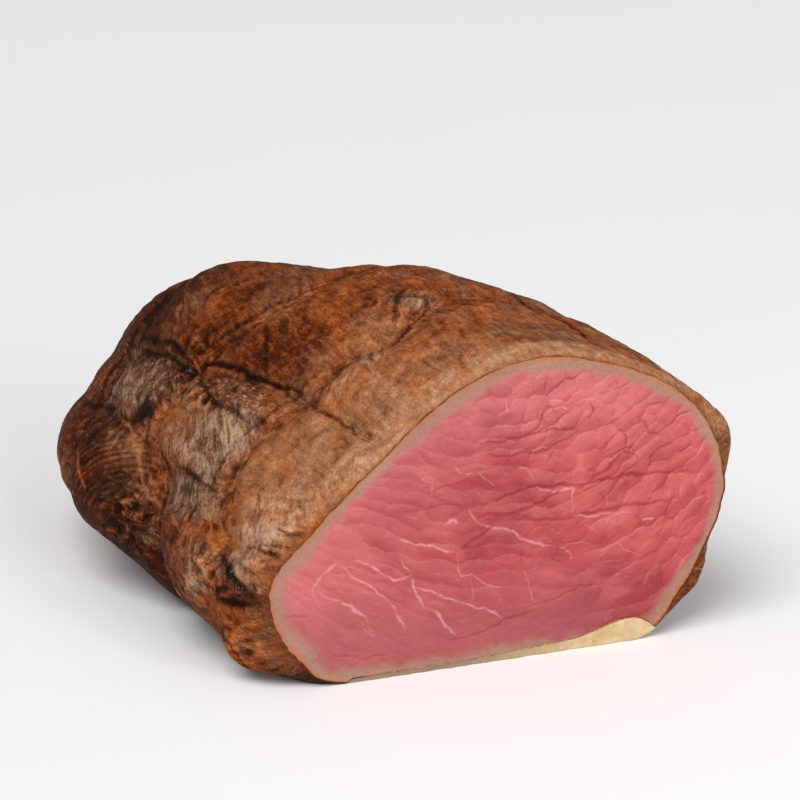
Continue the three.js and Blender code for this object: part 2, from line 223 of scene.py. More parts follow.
VEINS = [
    (0.29, 1, -35, 47.2, -31, 45, -25, 42.9, -18.7, 40.8, -16, 40.6),
    (0.22, 0.8, -16, 40.6, -14.8, 32.2, -10, 31, -5, 28, 1.2, 26),
    (0.19, 0.6, -12, 31.2, -10, 26, -9.4, 22.9),
    (0.34, 1, -11, 55, -10.4, 51.6, -5, 47.2, 3.8, 44.1, 8.8, 41, 18, 37.9),
    (0.29, 1, -63, 32.9, -55.6, 28.5, -48.8, 22.9, -44.4, 16.6),
    (0.29, 1, -55.6, 41.6, -47.5, 33.5, -38, 24, -33, 15.4),
    (0.26, 0.9, -51.3, 42.3, -43.8, 37.9, -36.9, 33.5, -31.3, 33.8),
    (0.29, 1, -31.3, 33.8, -28, 23.5, -23.8, 21, -16.3, 11),
    (0.29, 1, -31.3, 31.6, -22.5, 26, -11.3, 21, -5, 18.5, 0.6, 14),
    (0.34, 0.9, -65, 31, -64.4, 36, -61, 39, -55.6, 42), (0.22, 0.7, -35, 41, -33.5, 37, -32, 34),
    (0.22, 0.7, -41, 51.6, -38, 47.9), (0.19, 0.6, -34.4, 55.4, -29.4, 52.9),
    (0.26, 0.9, 11.3, 59, 17.5, 56.6, 23, 56, 24.8, 55.4, 25, 51, 24.4, 47),
    (0.22, 0.8, 25, 46.6, 33.8, 46, 40, 46.3, 47.5, 44.8), (0.19, 0.6, 28, 45.4, 31, 43, 33.8, 40.4),
    (0.26, 0.9, -16.9, 71, -14, 68, -10, 66), (0.22, 0.7, -8, 65.4, -5, 62.5, -2.5, 60.4),
    (0.22, 0.8, 5.6, 66.6, 8.8, 65.4, 11, 61.3), (0.2, 0.7, 13, 70.4, 15, 69.8, 14.4, 67.3),
    (0.2, 0.7, 18.8, 68.5, 21.3, 66), (0.19, 0.6, 0, 89.8, 1.9, 85.4), (0.22, 0.6, -0.6, 96.6, 3.8, 92.9),
    (0.22, 0.7, 15, 81.6, 18, 84, 21.3, 85.4, 24.4, 82.3), (0.2, 0.6, 26.3, 86.6, 32.5, 86.6, 35.6, 83.5),
    (0.34, 1, 50.6, 42, 54.8, 41.6), (0.22, 0.8, 21.3, 36.6, 23.8, 33.5, 25.6, 30.4),
    (0.2, 0.7, 6.9, 31.6, 9.4, 26, 11.3, 19.8, 13.1, 18.5), (0.19, 0.7, 36.9, 56, 36.9, 48.5),
    (0.51, 0.9, -19.4, 50.4, -16.9, 51, -15, 50), (0.26, 0.8, -24.4, 64.8, -23.8, 61),
    (0.19, 0.6, -28.8, 67.3, -23.8, 64.8), (0.19, 0.5, -49, 20, -42, 12),
    (0.19, 0.5, 41, 36, 47, 31, 50, 30),
]

# Patches of the crust: girth, depth, half width round, half width along, amount. The first ones colour it,
# and the rest fold it, darken its lip, partly browning and partly painted shadow, and roughen it.
TINTS = {
    "char": [
        (32, 100, 10, 12, 0.5), (16, 76, 13, 16, 0.5), (8, 46, 11, 16, 0.4), (4, 5, 15, 9, 0.9),
        (159, 64, 6, 6, 0.6), (81, 117, 7, 4, 1), (102, 130, 5, 12, 0.5), (65, 65, 4, 7, 0.7),
        (97, 80, 3, 20, 0.4), (116, 188, 60, 16, 0.3), (40, 118, 7, 12, 0.5), (92, 168, 18, 7, 0.3),
        (106, 118, 7, 5, 0.6), (74, 58, 5, 5, 0.5), (58, 134, 5, 12, 0.4), (41, 83, 5, 4, 0.6),
        (44, 12, 2.5, 9, 0.5), (272, 60, 6, 7, 0.6), (204, 112, 7, 6, 0.5), (330, 52, 9, 9, 0.6),
        (284, 108, 8, 5, 0.5),
    ],
    "ash": [
        (376, 0, 50, 4, 1), (54, 15, 5, 8, 0.5), (50, 42, 8, 12, 0.3), (87, 68, 13, 12, 1.1),
        (80, 82, 12, 11, 0.6), (64, 62, 8, 20, 0.9), (90, 134, 14, 22, 1.3), (105, 163, 10, 12, 0.4),
        (62, 14, 8, 8, 0.5), (135, 44, 6, 8, 0.5), (120, 43, 8, 8, 0.5), (49, 10, 4, 10, 0.45),
        (90, 6, 24, 5, 0.35), (40, 78, 5, 5, 0.8), (44, 31, 5, 5, 0.7), (163, 63, 8, 7, 0.6),
        (70, 20, 12, 12, 0.35), (128, 138, 10, 8, 0.35), (75, 62, 5, 6, 0.6), (68, 118, 5, 10, 0.35),
        (258, 74, 16, 12, 0.35), (292, 70, 9, 18, 0.35), (212, 122, 16, 12, 0.35), (262, 130, 13, 20, 0.4),
        (238, 44, 14, 9, 0.3), (310, 36, 12, 9, 0.35),
    ],
    "pale": [
        (376, 0, 50, 4, 1), (104, 5, 38, 7, 0.6), (160, 4, 66, 9, 1), (100, 26, 50, 24, 0.55),
        (70, 18, 18, 16, 0.4), (128, 60, 22, 8, 0.25), (90, 66, 7, 7, 0.4), (140, 108, 14, 9, 0.25),
        (220, 10, 46, 10, 0.45), (160, 52, 24, 10, 0.3), (46, 28, 7, 7, 0.4), (58, 6, 6, 7, 0.15),
        (92, 120, 12, 24, 0.3), (250, 22, 30, 12, 0.3), (214, 66, 14, 9, 0.3),
    ],
    # The warm patch at girth 54 and depth 120 is partly baked-on orange, partly painted highlight: orange
    # glints.
    "warm": [
        (40, 13, 9, 10, 0.5), (152, 82, 36, 20, 0.6), (50, 46, 8, 18, 0.35), (47, 89, 6, 6, 1),
        (54, 120, 4, 14, 1), (126, 126, 18, 12, 0.7), (62, 122, 8, 14, 0.4), (130, 34, 30, 12, 0.4),
        (26, 18, 14, 9, 0.6), (190, 40, 40, 26, 0.5), (120, 86, 9, 18, 0.7), (114, 176, 90, 24, 0.3),
        (36, 60, 14, 16, 0.6), (300, 80, 70, 90, 0.2), (72, 40, 6, 8, 0.5), (63, 55, 3, 6, 0.8),
        (80, 64, 3, 4, 0.7),
    ],
    "torn": [
        (102, 80, 6.5, 20, 1), (101, 104, 5, 9, 0.6), (62, 12, 8, 7, 0.3), (283, 62, 7, 9, 0.5),
    ],
    "dark": [
        (84, 78, 4, 12, 0.3), (70, 78, 4, 14, 0.25), (96, 62, 4, 6, 0.2), (28, 92, 32, 46, 0.6),
        (130, 132, 60, 24, 0.33), (110, 180, 110, 32, 0.5), (120, 88, 16, 28, 0.4), (165, 80, 50, 26, 0.14),
        (4, 30, 26, 36, 0.5), (300, 80, 60, 90, 0.2), (292, 10, 20, 14, 0.15), (64, 60, 8, 16, 0.25),
        (102, 124, 14, 20, 0.25), (66, 140, 16, 24, 0.4), (98, 140, 8, 14, 0.1), (88, 118, 14, 6, 0.3),
        (46, 44, 12, 24, 0.3), (380, 100, 60, 110, 0.3), (56, 112, 14, 26, 0.25), (45, 11, 4, 11, 0.6),
        (84, 128, 20, 20, 0.1), (38, 7, 8, 7, 0.2), (104, 78, 9, 22, 0.08), (110, 56, 30, 4, 0.1),
        (62, 3, 12, 6, 0.1), (122, 160, 30, 14, 0.2),
    ],
    "arcs": [
        (55, 112, 16, 24, 1), (58, 92, 8, 14, 0.6),
    ],
    "specks": [
        (76, 26, 18, 16, 1), (92, 18, 24, 16, 0.7), (50, 70, 30, 60, 0.3), (83, 70, 14, 18, 0.6),
        (240, 90, 60, 80, 0.4),
    ],
    "streaks": [
        (200, 26, 70, 46, 0.6), (150, 84, 40, 22, 0.6), (300, 70, 70, 90, 0.4),
    ],
}
FOLDED = [
    (68, 12, 16, 15, 0.8), (50, 10, 10, 12, 0.7), (34, 14, 12, 12, 0.5),
]
LIPPED = [
    (110, 0, 40, 9, 1), (165, 0, 25, 9, 0.6), (5, 0, 14, 9, 1), (280, 0, 30, 9, 0.5),
]
ROUGHENED = [
    (55, 14, 14, 14, 0.4), (44, 32, 9, 10, 1), (99, 84, 8, 28, 1), (75, 62, 14, 12, 0.5),
    (88, 125, 16, 18, 0.6), (158, 62, 12, 10, 0.8), (44, 86, 12, 12, 1), (20, 10, 20, 10, 0.7),
    (290, 14, 24, 16, 0.5), (105, 116, 14, 10, 0.8), (235, 20, 40, 16, 0.4), (60, 134, 14, 20, 0.5),
    (260, 66, 18, 14, 0.6), (300, 110, 24, 20, 0.6),
]

# The middle of the cut, and the corners of its grid in degrees round it.
CUT_CENTRE = np.array([2.0, 46.0])
GRID_CORNERS = (-146, 138, 42, -42)
# Rows inside the crust's rim and behind the flesh's: (way in from the rim, way back from the cut).
BED_DEPTH = 6.0
CRUST_LIP = [(0.5, BED_DEPTH), (0.5, 1.6), (0.45, 0.4), (0.25, 0.06)]
FLESH_WALL = [(0.06, 0.4), (0.12, 1.2), (0.12, 5.4)]
# Rows of the fat's face: (share of the way out from its middle height, way back from the cut).
FAT_FACE = [(0.04, 0.25), (0.35, 0.2), (0.7, 0.15), (0.93, 0.2)]
# The rim: how far it lies inside the outline, and how strongly it wavers, at what size, and the seed.
RIM_INSET = 0.15
WAVERS = [(0.34, 5.0, 3), (0.2, 1.7, 4)]
# Lines: how far noise moves them and at what size, the share of their height that the crust's have in the
# mesh, and the widths of the bells across them, in half widths.
SWAY = 0.7
SWAY_SIZE = 4.0
LINE_SHARE = 0.6
CRACK_SLOPE = 1.4
RIDGE_SLOPE = 1.2
CREASE_SLOPE = 1.5
# The power by which rows crowd towards the cut.
ROW_EASE = 1.12
FAT_EASE = 1.25
# The length and the height of a bundle of flesh, the width of the cooked band inside the crust, and how
# far the flesh lies behind the plane of the cut.
BUNDLE_LENGTH = 13.0
BUNDLE_HEIGHT = 4.8
BAND_WIDTH = 6.0
FLESH_SET_BACK = 0.2

# How far the fibres of the dried places turn from the way along the joint, in radians.
COMB_ANGLE = 0.75
# The middle of the ringed muscle, as girth and depth drawn out, in metres.
RINGS_MIDDLE = (-0.046, -0.0616, 0)

# The stage, in metres.
KEY_OFFSET = Vector((-0.45, -0.4, 0.85))
FILL_OFFSET = Vector((0.25, -1.2, 0.5))
FILL_SIZE = 0.8
FLOOR_HALF = 6.0
FLOOR_SHADE = 0.97
CAMERA_REACH = 50.0


def paint(name, description, red, green, blue):
    """A colour setting whose default is given as the red, green and blue that a screen shows, 0 to 255."""
    shown = np.array([red, green, blue]) / 255
    light = np.where(shown <= 0.04045, shown / 12.92, ((shown + 0.055) / 1.055) ** 2.4)
    return bpy.props.FloatVectorProperty(
        name=name, description=description, default=light.tolist(), subtype="COLOR", size=3, min=0, max=1
    )


def number(name, description, default, **more):
    """A setting that is a number, and a whole one if its default is."""
    kind = bpy.props.IntProperty if isinstance(default, int) else bpy.props.FloatProperty
    return kind(name=name, description=description, default=default, **more)


class CrustSettings(bpy.types.PropertyGroup):
    """Sizes and colours of the browned outside."""

    columns: number("Columns", "Faces round the side of the joint", 396)
    sole_columns: number("Sole columns", "Faces across the sole", 44)
    rows: number("Rows", "Faces from the cut to the tip", 214)
    fibre: number("Fibre height", "Height of the bundles of fibre", 0.16 * MM, unit="LENGTH")
    lump: number("Lump height", "Height of the small lumps", 0.28 * MM, unit="LENGTH")
    fold: number("Fold height", "Height of the wrinkles beside the cut", 0.42 * MM, unit="LENGTH")
    crag: number("Crag height", "Height of the broken places", 0.6 * MM, unit="LENGTH")
    dark: paint("Dark", "Deepest brown of the skin", 33, 13, 3)
    brown: paint("Brown", "Dark brown of the skin", 74, 42, 25)
    chestnut: paint("Chestnut", "Middle brown of the skin", 120, 76, 50)
    tan: paint("Tan", "Light brown of the skin", 168, 116, 80)
    pale: paint("Pale", "Palest brown, beside the cut", 208, 162, 124)
    sienna: paint("Sienna", "Dark brown where the juices have baked on", 84, 32, 5)
    rust: paint("Rust", "Middle brown where the juices have baked on", 140, 68, 24)
    amber: paint("Amber", "Light brown where the juices have baked on", 186, 103, 48)
    slate: paint("Slate", "Dark streaks of the dried places", 62, 46, 38)
    ash: paint("Ash", "Dried grey places", 138, 110, 90)
    # Horn also paints the glints, a painted highlight.
    horn: paint("Horn", "Palest fibres of the dried places", 190, 154, 126)
    torn: paint("Torn", "Torn places", 100, 48, 34)
    char: paint("Char", "Burnt places and cracks", 18, 11, 8)


class FleshSettings(bpy.types.PropertyGroup):
    """Sizes and colours of the cut."""

    cells: number("Cells", "Faces along each side of the cut's grid", 296)
    inset: number("Inset", "How far the cut stays inside the crust", 0.4 * MM, unit="LENGTH")
    crease: number("Crease depth", "Depth of the main creases", 0.42 * MM, unit="LENGTH")
    dome: number("Dome height", "How far the flesh swells between its lines", 0.16 * MM, unit="LENGTH")
    pink: paint("Pink", "Middle of the cut", 198, 86, 86)
    rose: paint("Rose", "Paler pink at the left and the edges", 208, 122, 120)
    ruby: paint("Ruby", "Deeper places", 150, 50, 54)
    # Wine is partly the flesh's own darker lines and partly painted shade under the bundles and in the
    # creases.
    wine: paint("Wine", "Creases and the borders of the bundles", 138, 26, 32)
    mauve: paint("Mauve", "Duller pink low in the cut", 156, 80, 84)
    vein: paint("Vein", "Thin pale lines", 232, 176, 182)
    grey: paint("Grey", "Cooked band inside the crust", 164, 126, 110)
    tan: paint("Tan", "Browned edge of the cut", 182, 114, 74)
    # Edge is the thin dark line where the cut meets the crust, partly painted shadow, and dark specks in the
    # band.
    edge: paint("Edge", "Thin dark line at the crust", 112, 62, 38)


class FatSettings(bpy.types.PropertyGroup):
    """Fineness and colours of the strip of fat."""

    columns: number("Columns", "Faces across the strip", 240)
    rows: number("Rows", "Faces along the strip", 90)
    cream: paint("Cream", "Fat at the cut", 208, 184, 142)
    butter: paint("Butter", "Deeper yellow of the fat", 184, 146, 92)
    roasted: paint("Roasted", "Browned outside of the fat", 142, 94, 54)
    dull: paint("Dull", "Thin end of the fat", 136, 106, 84)


class StageSettings(bpy.types.PropertyGroup):
    """Camera, light and floor."""

    azimuth: number("Azimuth", "Turn of the camera round the joint", math.radians(-21.418), subtype="ANGLE")
    elevation: number("Elevation", "Camera's angle above the floor", math.radians(18.5), subtype="ANGLE")
    distance: number("Distance", "From the camera to what it looks at", 1.2, unit="LENGTH")
    aim: bpy.props.FloatVectorProperty(
        name="Aim", description="Point that the camera looks at", default=(-0.02349, -0.09792, 0.09431),
        subtype="TRANSLATION"
    )
    lens: number("Lens", "Focal length in millimetres", 170.74)
    key_light: number("Key light", "Strength of the light above", 2.0)
    key_spread: number("Key spread", "Angle that the light above fills", math.radians(40), subtype="ANGLE")
    fill_light: number("Fill light", "Power of the light in front", 9.0, subtype="POWER")
    sky: number("Sky", "Strength of the light from all round", 0.32)
    floor: paint("Floor", "Colour of the floor", 246, 246, 246)


class RoastSettings(bpy.types.PropertyGroup):
    """All the settings of the joint."""

    crust: bpy.props.PointerProperty(type=CrustSettings, name="Crust", description="Browned outside")
    flesh: bpy.props.PointerProperty(type=FleshSettings, name="Flesh", description="The cut")
    fat: bpy.props.PointerProperty(type=FatSettings, name="Fat", description="Strip of fat")
    stage: bpy.props.PointerProperty(type=StageSettings, name="Stage", description="Camera, light and floor")


def smoothstep(value, low, high):
    """Rises from 0 at low to 1 at high as three times the share squared less twice its cube."""
    share = np.clip((value - low) / (high - low), 0, 1)
    return share * share * (3 - 2 * share)


def lerp(start, end, share):
    """The value that lies a share of the way from start to end."""
    return start + (end - start) * share


def bell(distance, width):
    """One at no distance, falling as e to the minus (distance over width) squared."""
    return np.exp(-((distance / width) ** 2))


def stacked(*parts):
    """The parts side by side: the ways of points or the corners of faces. One number serves for all."""
    return np.stack(np.broadcast_arrays(*parts), axis=-1)


def curve_through(points, closed, steps):
    """Points on the Catmull-Rom curve through the given ones, with that many steps between two of them."""
    given = np.asarray(points, float)
    count = len(given)
    spans = count if closed else count - 1
    index = np.repeat(np.arange(spans), steps)
    share = np.tile(np.arange(steps) / steps, spans)[:, None]

    def at(place):
        return given[place % count] if closed else given[np.clip(place, 0, count - 1)]

    before, start, end, after = at(index - 1), at(index), at(index + 1), at(index + 2)
    square = 2 * before - 5 * start + 4 * end - after
    cube = 3 * start - before - 3 * end + after
    curve = 0.5 * (2 * start + (end - before) * share + square * share**2 + cube * share**3)
    return np.vstack([curve, given[:1] if closed else given[-1:]])


def run_along(path):
    """How far along a line of points each of them lies."""
    return np.concatenate([[0], np.cumsum(np.hypot(*np.diff(path, axis=0).T))])


OUTLINE = curve_through(CUT_OUTLINE, True, OUTLINE_STEPS)
OUTLINE_RUN = run_along(OUTLINE)
GIRTH = float(OUTLINE_RUN[-1])
SOLE_START = float(OUTLINE_RUN[OUTLINE_STEPS * CUT_OUTLINE.index(SOLE_RIGHT)])


def outline_at(girth):
    """Way across and height of the cut's outline at a girth, read off the closed curve by its length."""
    return [np.interp(np.mod(girth, GIRTH), OUTLINE_RUN, way) for way in OUTLINE.T]


def place_on_path(path, across, along, shrink=1.0):
    """Shortest distance from each point to a line of points, and the share of the line's run where it lies.

    Ways across are scaled by shrink.
    """
    runs = run_along(path)
    nearest = np.full(np.shape(across), np.inf)
    place = np.zeros(np.shape(across))
    for start, end, run, more in zip(path[:-1], path[1:], runs[:-1], np.diff(runs)):
        from_x, from_y = (across - start[0]) * shrink, along - start[1]
        step_x, step_y = (end[0] - start[0]) * shrink, end[1] - start[1]
        length = step_x * step_x + step_y * step_y + TINY
        share = np.clip((from_x * step_x + from_y * step_y) / length, 0, 1)
        away = (from_x - share * step_x) ** 2 + (from_y - share * step_y) ** 2
        place = np.where(away < nearest, run + share * more, place)
        nearest = np.minimum(nearest, away)
    return np.sqrt(nearest), place / runs[-1]


def nearest_line(rows, across, along, shrink=1.0):
    """How many half widths away the nearest line is, and that line's height and how strongly it shows.

    A line narrows towards its ends: one half width more is added there, by the sixth power of the way
    from its middle.
    """
    field = np.full(np.shape(across), FARTHEST)
    height = np.zeros(np.shape(across))
    tone = np.zeros(np.shape(across))
    for line_height, half_width, line_tone, *path in rows:
        curve = curve_through(np.reshape(path, (-1, 2)), False, CURVE_STEPS)
        away, share = place_on_path(curve, across, along, shrink)
        widths = away / half_width + (2 * share - 1) ** 6
        nearer = widths < field
        height = np.where(nearer, line_height, height)
        tone = np.where(nearer, line_tone, tone)
        field = np.where(nearer, widths, field)
    return field, height, tone


def lattice_noise(points, size, seed):
    """Smooth noise from -1 to 1: seeded random values on a lattice of that size, blended by smoothstep."""
    side = 32
    table = np.random.default_rng(seed).uniform(-1, 1, (side, side, side))
    place = np.asarray(points) / size
    base = np.floor(place).astype(int)
    share = smoothstep(place - base, 0, 1)
    total = np.zeros(place.shape[:-1])
    for corner in np.ndindex(2, 2, 2):
        weight = np.prod(np.where(corner, share, 1 - share), axis=-1)
        cell = (base + np.array(corner)) % side
        total += weight * table[cell[..., 0], cell[..., 1], cell[..., 2]]
    return total


def layered_noise(points, size, seed, layers=3):
    """Noise with finer layers on top, each half the size and 0.55 of the strength of the one before."""
    return sum(
        lattice_noise(points, size * 0.5**layer, seed + layer) * 0.55**layer for layer in range(layers)
    )


def ridged_noise(points, size, seed, layers=2):
    """Noise with sharp crests: one less twice the size of the layered noise."""
    return 1 - 2 * np.abs(layered_noise(points, size, seed, layers))


def scattered_cells(across, up, seed):
    """Cells round one random point a square: how far the border is, how far up the point is, and a value.

    The border's distance is that of the second nearest point less that of the nearest. The fourth result
    is how level the border is: 1 when one of the two points lies right above the other.
    """
    side = 64
    random = np.random.default_rng(seed)
    table = random.uniform(0.1, 0.9, (side, side, 2))
    values = random.uniform(-1, 1, (side, side))
    place = stacked(across, up)
    base = np.floor(place).astype(int)
    first = np.full(across.shape, np.inf)
    second = np.full(across.shape, np.inf)
    nearest = np.zeros((*across.shape, 2))
    other = np.ones((*across.shape, 2))
    value = np.zeros(across.shape)
    for shift in np.ndindex(3, 3):
        cell = base + np.array(shift) - 1
        chosen = cell[..., 0] % side, cell[..., 1] % side
        offset = place - cell - table[chosen]
        away = np.linalg.norm(offset, axis=-1)
        nearer, between = away < first, (away >= first) & (away < second)
        other = np.where(nearer[..., None], nearest, np.where(between[..., None], offset, other))
        nearest = np.where(nearer[..., None], offset, nearest)
        value = np.where(nearer, values[chosen], value)
        second = np.where(nearer, first, np.where(between, away, second))
        first = np.where(nearer, away, first)
    gap = other - nearest
    return second - first, nearest[..., 1], value, gap[..., 1] ** 2 / (np.sum(gap**2, axis=-1) + 1e-6)


def hollows(height, passes, deep):
    """How far each point of a grid lies below its surroundings: 1 at that depth or more, -1 as far above.

    Its surroundings are averaged with their neighbours that many times, right round in the columns.
    """
    grid = height
    for _ in range(passes):
        grid = (np.roll(grid, 1, axis=1) + 2 * grid + np.roll(grid, -1, axis=1)) / 4
        padded = np.vstack([grid[:1], grid, grid[-1:]])
        grid = (padded[:-2] + 2 * padded[1:-1] + padded[2:]) / 4
    return np.clip((grid - height) / deep, -1, 1)


def patch_sum(patches, girth, depth):
    """Sum of the patches, held at 1. Each is its amount times e to the minus its distance's fourth power."""
    total = np.zeros(np.shape(girth))
    for middle, back, half_round, half_along, amount in patches:
        round_way = (girth - middle + GIRTH / 2) % GIRTH - GIRTH / 2
        away = (round_way / half_round) ** 2 + ((depth - back) / half_along) ** 2
        total += amount * np.exp(-(away**2))
    return np.clip(total, 0, 1)


def closing(share, blunt):
    """How far a side has closed in: the root of one less the share of the length to the power blunt."""
    return np.sqrt(np.maximum(1 - share**blunt, 0))


def mark_distances(girth, depth):
    """The depth and the distance of every string mark. A ring's path goes on past both ends of the girth."""
    shrink = closing(depth / LENGTH, CLOSE_LEFT)
    turn = np.array([GIRTH, 0])
    rings = [(deep, np.reshape(path, (-1, 2))) for deep, *path in RING_MARKS]
    paths = [(deep, np.vstack([path[-2:] - turn, path, path[:2] + turn])) for deep, path in rings]
    paths += [(deep, np.reshape(path, (-1, 2))) for deep, *path in LINE_MARKS]
    curves = [(deep, curve_through(path, False, CURVE_STEPS)) for deep, path in paths]
    return [(deep, place_on_path(curve, girth, depth, shrink)[0]) for deep, curve in curves]


def skin_form(girth, depth):
    """The joint's plain form and the way out of it.

    A point is the outline's, widened by the swell, narrowed by the side's closing and moved across by the
    lean, which grows with the share of the length and its square. The way out points from the joint's
    axis, which stops short of the tip.
    """
    share = depth / LENGTH
    across, up = outline_at(girth)
    swollen = 1 - np.exp(-depth / SWELL_LENGTH)
    wide_left = (1 + SWELL_LEFT * swollen) * closing(share, CLOSE_LEFT)
    wide_right = (1 + SWELL_RIGHT * swollen) * closing(share, CLOSE_RIGHT)
    high_top = (1 + SWELL_TOP * swollen) * closing(share, CLOSE_TOP)
    foot_left, foot_right = closing(share, CLOSE_FOOT_LEFT), closing(share, CLOSE_FOOT_RIGHT)
    high_foot = (1 + SWELL_FOOT * swollen) * lerp(foot_left, foot_right, smoothstep(across, *FOOT_BLEND))
    lean = LEAN_LINEAR * share + LEAN_SQUARE * share * share
    x = lean + across * np.where(across < 0, wide_left, wide_right)
    z = AXIS_HEIGHT + (up - AXIS_HEIGHT) * np.where(up > AXIS_HEIGHT, high_top, high_foot)
    form = stacked(x, depth, z)
    outward = form - stacked(lean, np.minimum(depth, LENGTH - AXIS_STOP), AXIS_HEIGHT)
    return form, outward / np.linalg.norm(outward, axis=-1, keepdims=True)


def main_relief(girth, depth, marks):
    """Height of the muscles, crags and ripple less the string marks, as the solid has it."""
    shrink = closing(depth / LENGTH, CLOSE_LEFT)
    crown = 1 - CROWN_SHARE * bell(girth - CROWN_GIRTH, CROWN_WIDTH)
    held = crown * lerp(TIP_SHARE, 1, smoothstep(LENGTH - depth, 0, TIP_LENGTH))
    sunk = np.sqrt(sum((deep * held * bell(away, MARK_WIDTH)) ** 2 for deep, away in marks))
    swells = np.zeros(np.shape(girth + depth))
    for middle, back, half_round, half_along, height in MUSCLES:
        swells += height * bell(girth - middle, half_round) * bell(depth - back, half_along)
    for middle, back, half_width, height in CRAGS:
        swells += height * bell(np.hypot(girth - middle, depth - back), half_width)
    turn = 2 * np.pi * girth / GIRTH
    ripple = np.sin(depth / RIPPLE_ALONG + RIPPLE_SWAY * np.sin(RIPPLE_TURNS * turn))
    ripple = ripple * np.sin(girth / RIPPLE_ROUND + np.sin(depth / RIPPLE_ALONG))
    return swells + RIPPLE_HEIGHT * ripple * shrink - sunk


def fat_height(across, depth):
    """Height of the fat's top: its top line, thinner towards the back, where it runs out."""
    thin_from, thin_to, thin_share = FAT_THIN
    thin = lerp(1, thin_share, smoothstep(depth, thin_from, thin_to))
    return np.interp(across, *np.array(FAT_TOP).T) * thin * smoothstep(FAT_BACK - depth, 0, FAT_TAPER)


def rim_points(girth, inset):
    """The cut's outline, moved inwards by inset, wavered by seeded noise, and kept above the fat."""
    step = 0.25
    across, up = outline_at(girth)
    next_across, next_up = outline_at(girth + step)
    run = stacked(next_across - across, next_up - up)
    run = run / np.linalg.norm(run, axis=-1, keepdims=True)
    flat = stacked(across, up, 0)
    waver = sum(strength * lattice_noise(flat, size, seed) for strength, size, seed in WAVERS)
    inward = inset - waver * smoothstep(up, 1, 6) + RIM_INSET
    x = across + run[..., 1] * inward
    z = up - run[..., 0] * inward
    return x, np.maximum(z, np.maximum(np.interp(x, *np.array(FAT_TOP).T), 0) + RIM_GAP)


def rim_row(girth, inset, back):
    """A row of points along the rim, moved inwards and back from the cut."""
    x, z = rim_points(girth, inset)
    return stacked(x, back, z)


def skin_points(girth, depth, fine):
    """The skin with its main relief and a fine one, both growing from the rim and above the sole."""
    form, outward = skin_form(girth, depth)
    on_side = smoothstep(form[..., 2], 0, SOLE_HEIGHT)
    main = main_relief(girth, depth, mark_distances(girth, depth)) * smoothstep(depth, 0, RIM_LENGTH)
    points = form + outward * ((main + fine) * on_side)[..., None]
    points[..., 2] = np.maximum(points[..., 2], 0)
    return points


def frame_shift():
    """How far the frame is moved from the middle of the cut, in millimetres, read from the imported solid.

    The solid's own stations are used, so that the leftmost of them is its left side.
    """
    low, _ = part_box("roast")
    stations = np.arange(SOLID_COLUMNS) / SOLID_COLUMNS * GIRTH
    rows = (np.arange(SOLID_ROWS + 1) / SOLID_ROWS) ** SOLID_EASE
    girth, depth = np.meshgrid(stations, LENGTH * np.sin(np.pi / 2 * rows))
    points = skin_points(girth, depth, 0 * girth)
    return np.array([low.x / MM - points[..., 0].min(), low.y / MM, 0.0])


SHIFT = frame_shift()


def add_object(name, data):
    """A new object in the scene, at the origin, with that mesh, light or camera."""
    added = bpy.data.objects.new(name, data)
    bpy.context.scene.collection.objects.link(added)
    return added


def build_mesh(name, points, quads, triangles, attributes, uv_name, uv):
    """Puts arrays into a smooth mesh: points in millimetres, faces, one value a point and one UV a corner."""
    mesh = bpy.data.meshes.new(name)
    corners = np.concatenate([quads.ravel(), triangles.ravel()]).astype(np.int32)
    starts = np.concatenate([np.arange(len(quads)) * 4, len(quads) * 4 + np.arange(len(triangles)) * 3])
    mesh.vertices.add(len(points))
    mesh.vertices.foreach_set("co", ((points + SHIFT) * MM).astype(np.float32).ravel())
    mesh.loops.add(len(corners))
    mesh.loops.foreach_set("vertex_index", corners)
    mesh.polygons.add(len(starts))
    mesh.polygons.foreach_set("loop_start", starts.astype(np.int32))
    mesh.update(calc_edges=True)
    mesh.polygons.foreach_set("use_smooth", np.ones(len(starts), bool))
    layer = mesh.uv_layers.new(name=uv_name)
    layer.data.foreach_set("uv", (uv * MM).astype(np.float32).ravel())
    for key, values in attributes.items():
        attribute = mesh.attributes.new(key, "FLOAT", "POINT")
        attribute.data.foreach_set("value", values.astype(np.float32).ravel())
    mesh.validate()
    mesh.update()
    return add_object(name, mesh)


def grid_quads(rows, columns, wrapped):
    """Faces between neighbouring rows and columns, as point numbers, and their corners' rows and columns."""
    row, column = np.mgrid[0:rows - 1, 0:columns if wrapped else columns - 1]
    corner_rows = stacked(row, row, row + 1, row + 1).reshape(-1, 4)
    corner_columns = stacked(column, column + 1, column + 1, column).reshape(-1, 4)
    return corner_rows * columns + corner_columns % columns, corner_rows, corner_columns


def fan_uv(second, third, pole_depth, edge_depth):
    """UVs of a fan of triangles: the pole at the middle of each one's girths, and its two other corners."""
    girths = stacked((second + third) / 2, second, third)
    return stacked(girths, [pole_depth, edge_depth, edge_depth]).reshape(-1, 2)


def flat_uv(points, ways, quads, triangles):
    """UVs of the faces' corners: two of the ways of their points."""
    flat = points[:, ways]
    return np.concatenate([flat[quads].reshape(-1, 2), flat[triangles].reshape(-1, 2)])


